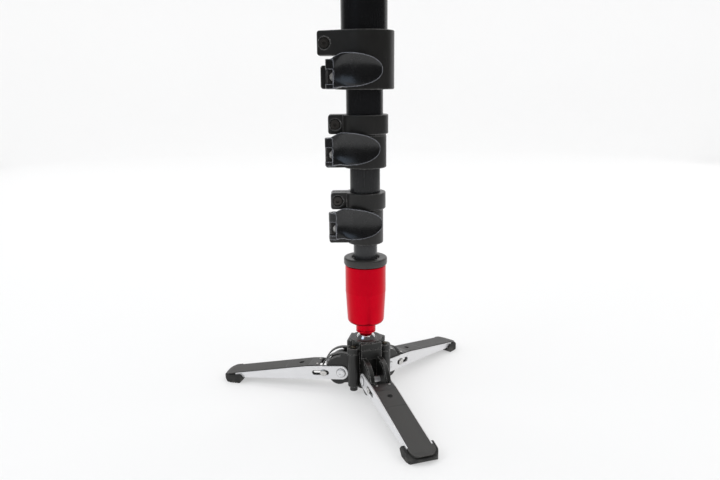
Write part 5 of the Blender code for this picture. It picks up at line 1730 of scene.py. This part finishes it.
class MONOPOD_OT_levers(bpy.types.Operator):
    """Build the three dished levers and their pins"""

    bl_idname = "monopod.build_levers"
    bl_label = "Levers"

    def execute(self, context):
        clamp = context.scene.monopod_clamp
        for tag in tube_of_clamp:
            spot = shift(*lever_pin_spot(tag))
            shape = bmesh.new()
            rings = []
            for index in range(lever_stations):
                share = math.sin(math.pi / 2 * index / (lever_stations - 1))
                rings.append([shape.verts.new(point) for point in lever_ring(share, clamp)])
            skin(shape, rings)
            lever = add_form(f"lever_form_{tag}", shape, spot)
            half = lever_root_height / 2
            cam = rod(lever_cam_radius, -half, half, small_sides, edge=lever_cam_edge)
            combine(lever, cam, spot, "UNION")
            slot = prism(eye_slot_outline(), -eye_slot_height / 2, eye_slot_height / 2)
            combine(lever, slot, spot @ shift(z=-eye_drop))
            hole = rod(lever_pin_radius + fit_gap, -half - cut_overrun, half + cut_overrun, small_sides)
            combine(lever, hole, spot)
            dress(f"lever_{tag}", lever, "lever", lever_smooth_angle)
            end = half - fit_gap
            pin = rod(lever_pin_radius, -end, end, small_sides, edge=lever_pin_edge)
            build(f"lever_{tag}_pin", pin, "pin", spot)
        return {"FINISHED"}


# Grip and camera plate

grip_collars_long = 14
skirt_gaps_long = 284
top_plug_length = 0.0080
top_hole_rise = 0.0040
top_neck_share = 0.68
top_shoulder_drop = 0.0080
top_hole_radius = 0.0043
top_groove_heights = (0.0040, 0.0045, 0.0055, 0.0060)
top_groove_depth = 0.0004
top_neck_rim = 0.0010
top_edge = 0.0003
camera_plate_edge = 0.0008
pad_hole_radius = 0.0060
pad_groove_shares = (0.80, 0.55)
thread_sides = 48
thread_rows = 10
thread_crest_slope = 1.25
thread_smooth_angle = math.radians(40)
knurl_smooth_angle = math.radians(20)
grip_ring_shares = (0.15, 0.35, 0.65, 0.85)
thread_edge = 0.0002


def knurled(shape, radius, low, high, depth):
    """Every other side of a round rim drawn in."""
    for vertex in shape.verts:
        reach = math.hypot(vertex.co.x, vertex.co.y)
        if reach > radius - depth / 2 and low <= vertex.co.z <= high:
            side = round(math.atan2(vertex.co.y, vertex.co.x) / math.tau * round_sides)
            if side % 2:
                vertex.co.x *= 1 - depth / reach
                vertex.co.y *= 1 - depth / reach
    return shape


def threaded(root, crest, low, high, pitch, sides=thread_sides):
    """A screw's thread along Z, fading out at both ends."""
    shape = bmesh.new()
    rows = math.ceil((high - low) / pitch * thread_rows)
    rings = []
    for row in range(rows + 1):
        height = low + (high - low) * row / rows
        fade = min(1.0, (height - low) / pitch, (high - height) / pitch)
        ring = []
        for side in range(sides):
            turn = math.tau * side / sides
            phase = (height / pitch - side / sides) % 1.0
            ridge = 1 - abs(phase * 2 - 1)
            radius = root + (crest - root) * min(1.0, ridge * thread_crest_slope) * fade
            ring.append(shape.verts.new((radius * math.cos(turn), radius * math.sin(turn), height)))
        rings.append(ring)
    skin(shape, rings)
    return shape


class MONOPOD_OT_top(bpy.types.Operator):
    """Build the grip, the cap, the camera plate with its pad, and the camera screw"""

    bl_idname = "monopod.build_top"
    bl_label = "Top"

    def execute(self, context):
        top = context.scene.monopod_top
        bore = node_radius("tube_1") + fit_gap
        self.build_grip(top, bore)
        self.build_cap(bore)
        self.build_plate(top)
        self.build_screw(top)
        return {"FINISHED"}

    def build_grip(self, top, inner):
        """Rubber grip with shallow rings between two plain collars."""
        outer = node_radius("grip")
        low, high = node_bottom("grip"), node_top("grip")
        collar = (high - low) / grip_collars_long
        pitch = (high - low - 2 * collar) / top.grip_rings
        outside = [(outer - collar / 8, low), (outer, low + collar / 4)]
        for index in range(top.grip_rings):
            base = low + collar + pitch * index
            heights = [base + pitch * share for share in grip_ring_shares]
            radii = (outer, outer - top.grip_groove, outer - top.grip_groove, outer)
            outside += zip(radii, heights)
        outside += [(outer, high - collar / 4), (outer - collar / 8, high)]
        profile = [(inner, low)] + outside + [(inner, high)]
        build("grip", lathe(rounded(profile, pitch / 8), ring=True), "grip")

    def build_cap(self, inner):
        """Cap that closes the widest tube and narrows under the camera plate."""
        high = node_top("top_cap")
        tube_end = node_top("tube_1")
        plug_end = tube_end - top_plug_length
        hole_end = tube_end - top_hole_rise
        plug = node_radius("tube_1") - bpy.context.scene.monopod_column.tube_wall - fit_gap
        skirt = node_top("grip") + (node_top("grip") - node_bottom("grip")) / skirt_gaps_long
        outer = node_radius("top_cap")
        neck = outer * top_neck_share
        groove = outer - top_groove_depth
        start, floor, ceiling, end = [skirt + height for height in top_groove_heights]
        cap = turned([
            (0, plug_end), (plug, plug_end), (plug, tube_end + fit_gap), (inner, tube_end + fit_gap),
            (inner, skirt), (outer, skirt), (outer, start), (groove, floor), (groove, ceiling), (outer, end),
            (outer, high - top_shoulder_drop), (neck, high - top_neck_rim), (neck, high),
            (top_hole_radius, high), (top_hole_radius, hole_end), (0, hole_end),
        ], top_edge)
        build("top_cap", cap, "casting")

    def build_plate(self, top):
        """Camera plate with a knurled rim, and its rubber pad with two grooves."""
        low, high = node_bottom("camera_plate"), node_top("camera_plate")
        outer = node_radius("camera_plate")
        bore = node_radius("camera_screw") + fit_gap
        edge = camera_plate_edge
        corners = [
            (bore, low), (outer - edge, low), (outer, low + edge), (outer, high - edge),
            (outer - edge, high), (bore, high),
        ]
        shape = knurled(lathe(corners, ring=True), outer, low + edge / 2, high - edge / 2, top.knurl_depth)
        build("camera_plate", shape, "casting", angle=knurl_smooth_angle)
        low, high = node_bottom("camera_plate_pad"), node_top("camera_plate_pad")
        outer = node_radius("camera_plate_pad")
        inner = pad_hole_radius
        groove = (high - low) / 3
        profile = [(inner, low), (outer, low), (outer, high)]
        for share in pad_groove_shares:
            middle = inner + (outer - inner) * share
            profile += [(middle + groove, high), (middle + groove / 2, high - groove)]
            profile += [(middle - groove / 2, high - groove), (middle - groove, high)]
        profile.append((inner, high))
        build("camera_plate_pad", lathe(rounded(profile, groove / 4), ring=True), "grip")

    def build_screw(self, top):
        """Camera screw: plain shank below, thread above the plate."""
        low, high = node_bottom("camera_screw"), node_top("camera_screw")
        crest = node_radius("camera_screw")
        root = crest - top.thread_depth
        flange_low = node_bottom("camera_plate") + fit_gap
        flange_high = node_top("camera_plate")
        corners = [
            (0, low), (root, low), (root, flange_low), (crest, flange_low), (crest, flange_high),
            (root, flange_high), (root * 0.98, flange_high + fit_gap), (0, flange_high + fit_gap),
        ]
        screw = add_form("camera_screw_form", turned(corners, thread_edge, thread_sides))
        combine(screw, threaded(root, crest, flange_high, high, top.thread_pitch), operation="UNION")
        dress("camera_screw", screw, "steel", thread_smooth_angle)


# Studio


floor_reach = 1.25
wall_reach = 1.9
wall_bend = 0.7
wall_rise = 3.0
wall_step = math.radians(6)
backdrop_spread = 0.7
air_strength = 0.08
window_colour = (0.62, 0.78, 1.0)
camera_spot = (-0.0106, -0.5538, 0.2658)
camera_down = math.radians(13.60)
camera_aside = math.radians(0.625)
camera_roll = math.radians(-0.445)
camera_lens = 33.6
camera_sensor = 36.0
camera_near = 0.01
object_middle = (0.0, 0.0, 0.20)

# Soft lights: place, target, width, height and power
studio_lights = {
    "overhead_softbox": ((0.0, 0.15, 2.0), object_middle, 3.6, 3.2, 25),
    "left_softbox": ((-1.25, 1.15, 0.7), object_middle, 0.8, 1.3, 1.2),
    "right_softbox": ((1.25, 1.15, 0.7), object_middle, 0.8, 1.3, 2.2),
    "backdrop_light": ((0.0, 0.9, 2.2), (0.0, 2.5, 0.6), 2.6, 0.8, 20),
    "window_light": ((-1.1, -1.0, 1.1), object_middle, 0.8, 0.8, 2.5),
    "left_fill": ((-1.7, -0.6, 1.3), object_middle, 1.6, 1.6, 12),
    "right_fill": ((1.7, -0.6, 1.3), object_middle, 1.6, 1.6, 12),
}


def studio_floor(level):
    """Round floor that the object stands on."""
    return lathe([(0, level), (floor_reach / 2, level), (floor_reach, level)])


def studio_wall(level, behind):
    """The floor's outer part curving up into a wall: the stretch behind the object, or all the rest."""
    line = [(floor_reach, level)]
    line += arc((wall_reach, level + wall_bend), wall_bend, -math.pi / 2, 0, wall_step)
    shape = lathe(line + [(wall_reach + wall_bend, level + wall_rise)])
    unwanted = []
    for face in shape.faces:
        middle = face.calc_center_median()
        is_behind = abs(middle.x) < backdrop_spread * middle.y
        if is_behind != behind:
            unwanted.append(face)
    bmesh.ops.delete(shape, geom=unwanted, context="FACES")
    return shape


def add_light(name, place, target, width, height, power):
    """A soft rectangular light that faces a point."""
    light = bpy.data.lights.new(name, "AREA")
    light.shape = "RECTANGLE"
    light.size = width
    light.size_y = height
    light.energy = power
    lamp = bpy.data.objects.new(name, light)
    bpy.context.scene.collection.objects.link(lamp)
    lamp.location = place
    lamp.rotation_euler = (Vector(target) - Vector(place)).to_track_quat("-Z", "Y").to_euler()
    return lamp


class MONOPOD_OT_stage(bpy.types.Operator):
    """Build the pale studio, its soft lights and the camera"""

    bl_idname = "monopod.build_stage"
    bl_label = "Stage"

    def execute(self, context):
        floor_level = cad_box[0].z
        floor = add_form("studio_floor", studio_floor(floor_level))
        backdrop = add_form("studio_backdrop", studio_wall(floor_level, True))
        wall = add_form("studio_wall", studio_wall(floor_level, False))
        wall.visible_glossy = False
        for surface in (floor, backdrop, wall):
            surface.data.shade_smooth()
            surface.data.materials.append(finish("floor"))
        for name, row in studio_lights.items():
            lamp = add_light(name, *row)
            if name == "window_light":
                lamp.data.color = window_colour
            if name.endswith("fill"):
                lamp.visible_glossy = False
        world = bpy.data.worlds.new("studio_air")
        world.use_nodes = True
        air = world.node_tree.nodes["Background"]
        air.inputs["Color"].default_value = white
        air.inputs["Strength"].default_value = air_strength
        context.scene.world = world
        context.scene.view_settings.view_transform = "Standard"
        self.add_camera(context)
        return {"FINISHED"}

    def add_camera(self, context):
        """Camera a little above the cartridge, tilted down at the foot."""
        down, aside, roll = camera_down, camera_aside, camera_roll
        ahead = Vector((math.sin(aside) * math.cos(down), math.cos(aside) * math.cos(down), -math.sin(down)))
        level = Vector((math.cos(aside), -math.sin(aside), 0.0))
        upright = level.cross(ahead)
        right = level * math.cos(roll) + upright * math.sin(roll)
        up = upright * math.cos(roll) - level * math.sin(roll)
        data = bpy.data.cameras.new("photo_camera")
        data.sensor_fit = "HORIZONTAL"
        data.sensor_width = camera_sensor
        data.lens = camera_lens
        data.clip_start = camera_near
        camera = bpy.data.objects.new("photo_camera", data)
        context.scene.collection.objects.link(camera)
        turn = Matrix((right, up, -ahead)).transposed().to_4x4()
        camera.matrix_world = Matrix.Translation(camera_spot) @ turn
        context.scene.camera = camera


class MONOPOD_PT_panel(bpy.types.Panel):
    """Sidebar panel with the sizes, colours and build buttons"""

    bl_idname = "MONOPOD_PT_panel"
    bl_label = "Monopod"
    bl_space_type = "VIEW_3D"
    bl_region_type = "UI"
    bl_category = "Monopod"

    def draw(self, context):
        layout = self.layout
        for group in settings_groups:
            box = layout.box()
            holder = getattr(context.scene, group)
            for key in holder.__annotations__:
                box.prop(holder, key)
        for operator in operators:
            layout.operator(operator.bl_idname)


settings_groups = {
    "monopod_hub": HubSizes,
    "monopod_leg": LegSizes,
    "monopod_column": ColumnSizes,
    "monopod_clamp": ClampSizes,
    "monopod_top": TopSizes,
    "monopod_colours": FinishColours,
}
operators = (
    MONOPOD_OT_stage,
    MONOPOD_OT_hub,
    MONOPOD_OT_legs,
    MONOPOD_OT_ball_joint,
    MONOPOD_OT_cartridge,
    MONOPOD_OT_tubes,
    MONOPOD_OT_clamps,
    MONOPOD_OT_levers,
    MONOPOD_OT_top,
)


def register():
    """Register the settings, operators and panel."""
    for group, kind in settings_groups.items():
        bpy.utils.register_class(kind)
        setattr(bpy.types.Scene, group, PointerProperty(type=kind))
    for kind in (*operators, MONOPOD_PT_panel):
        bpy.utils.register_class(kind)


def unregister():
    """Take the settings, operators and panel away again."""
    for kind in (MONOPOD_PT_panel, *reversed(operators)):
        bpy.utils.unregister_class(kind)
    for group, kind in reversed(settings_groups.items()):
        delattr(bpy.types.Scene, group)
        bpy.utils.unregister_class(kind)


def main():
    """Build everything."""
    register()
    bpy.ops.monopod.build_stage()
    bpy.ops.monopod.build_hub()
    bpy.ops.monopod.build_legs()
    bpy.ops.monopod.build_ball_joint()
    bpy.ops.monopod.build_cartridge()
    bpy.ops.monopod.build_tubes()
    bpy.ops.monopod.build_clamps()
    bpy.ops.monopod.build_levers()
    bpy.ops.monopod.build_top()


if __name__ == "__main__":
    main()
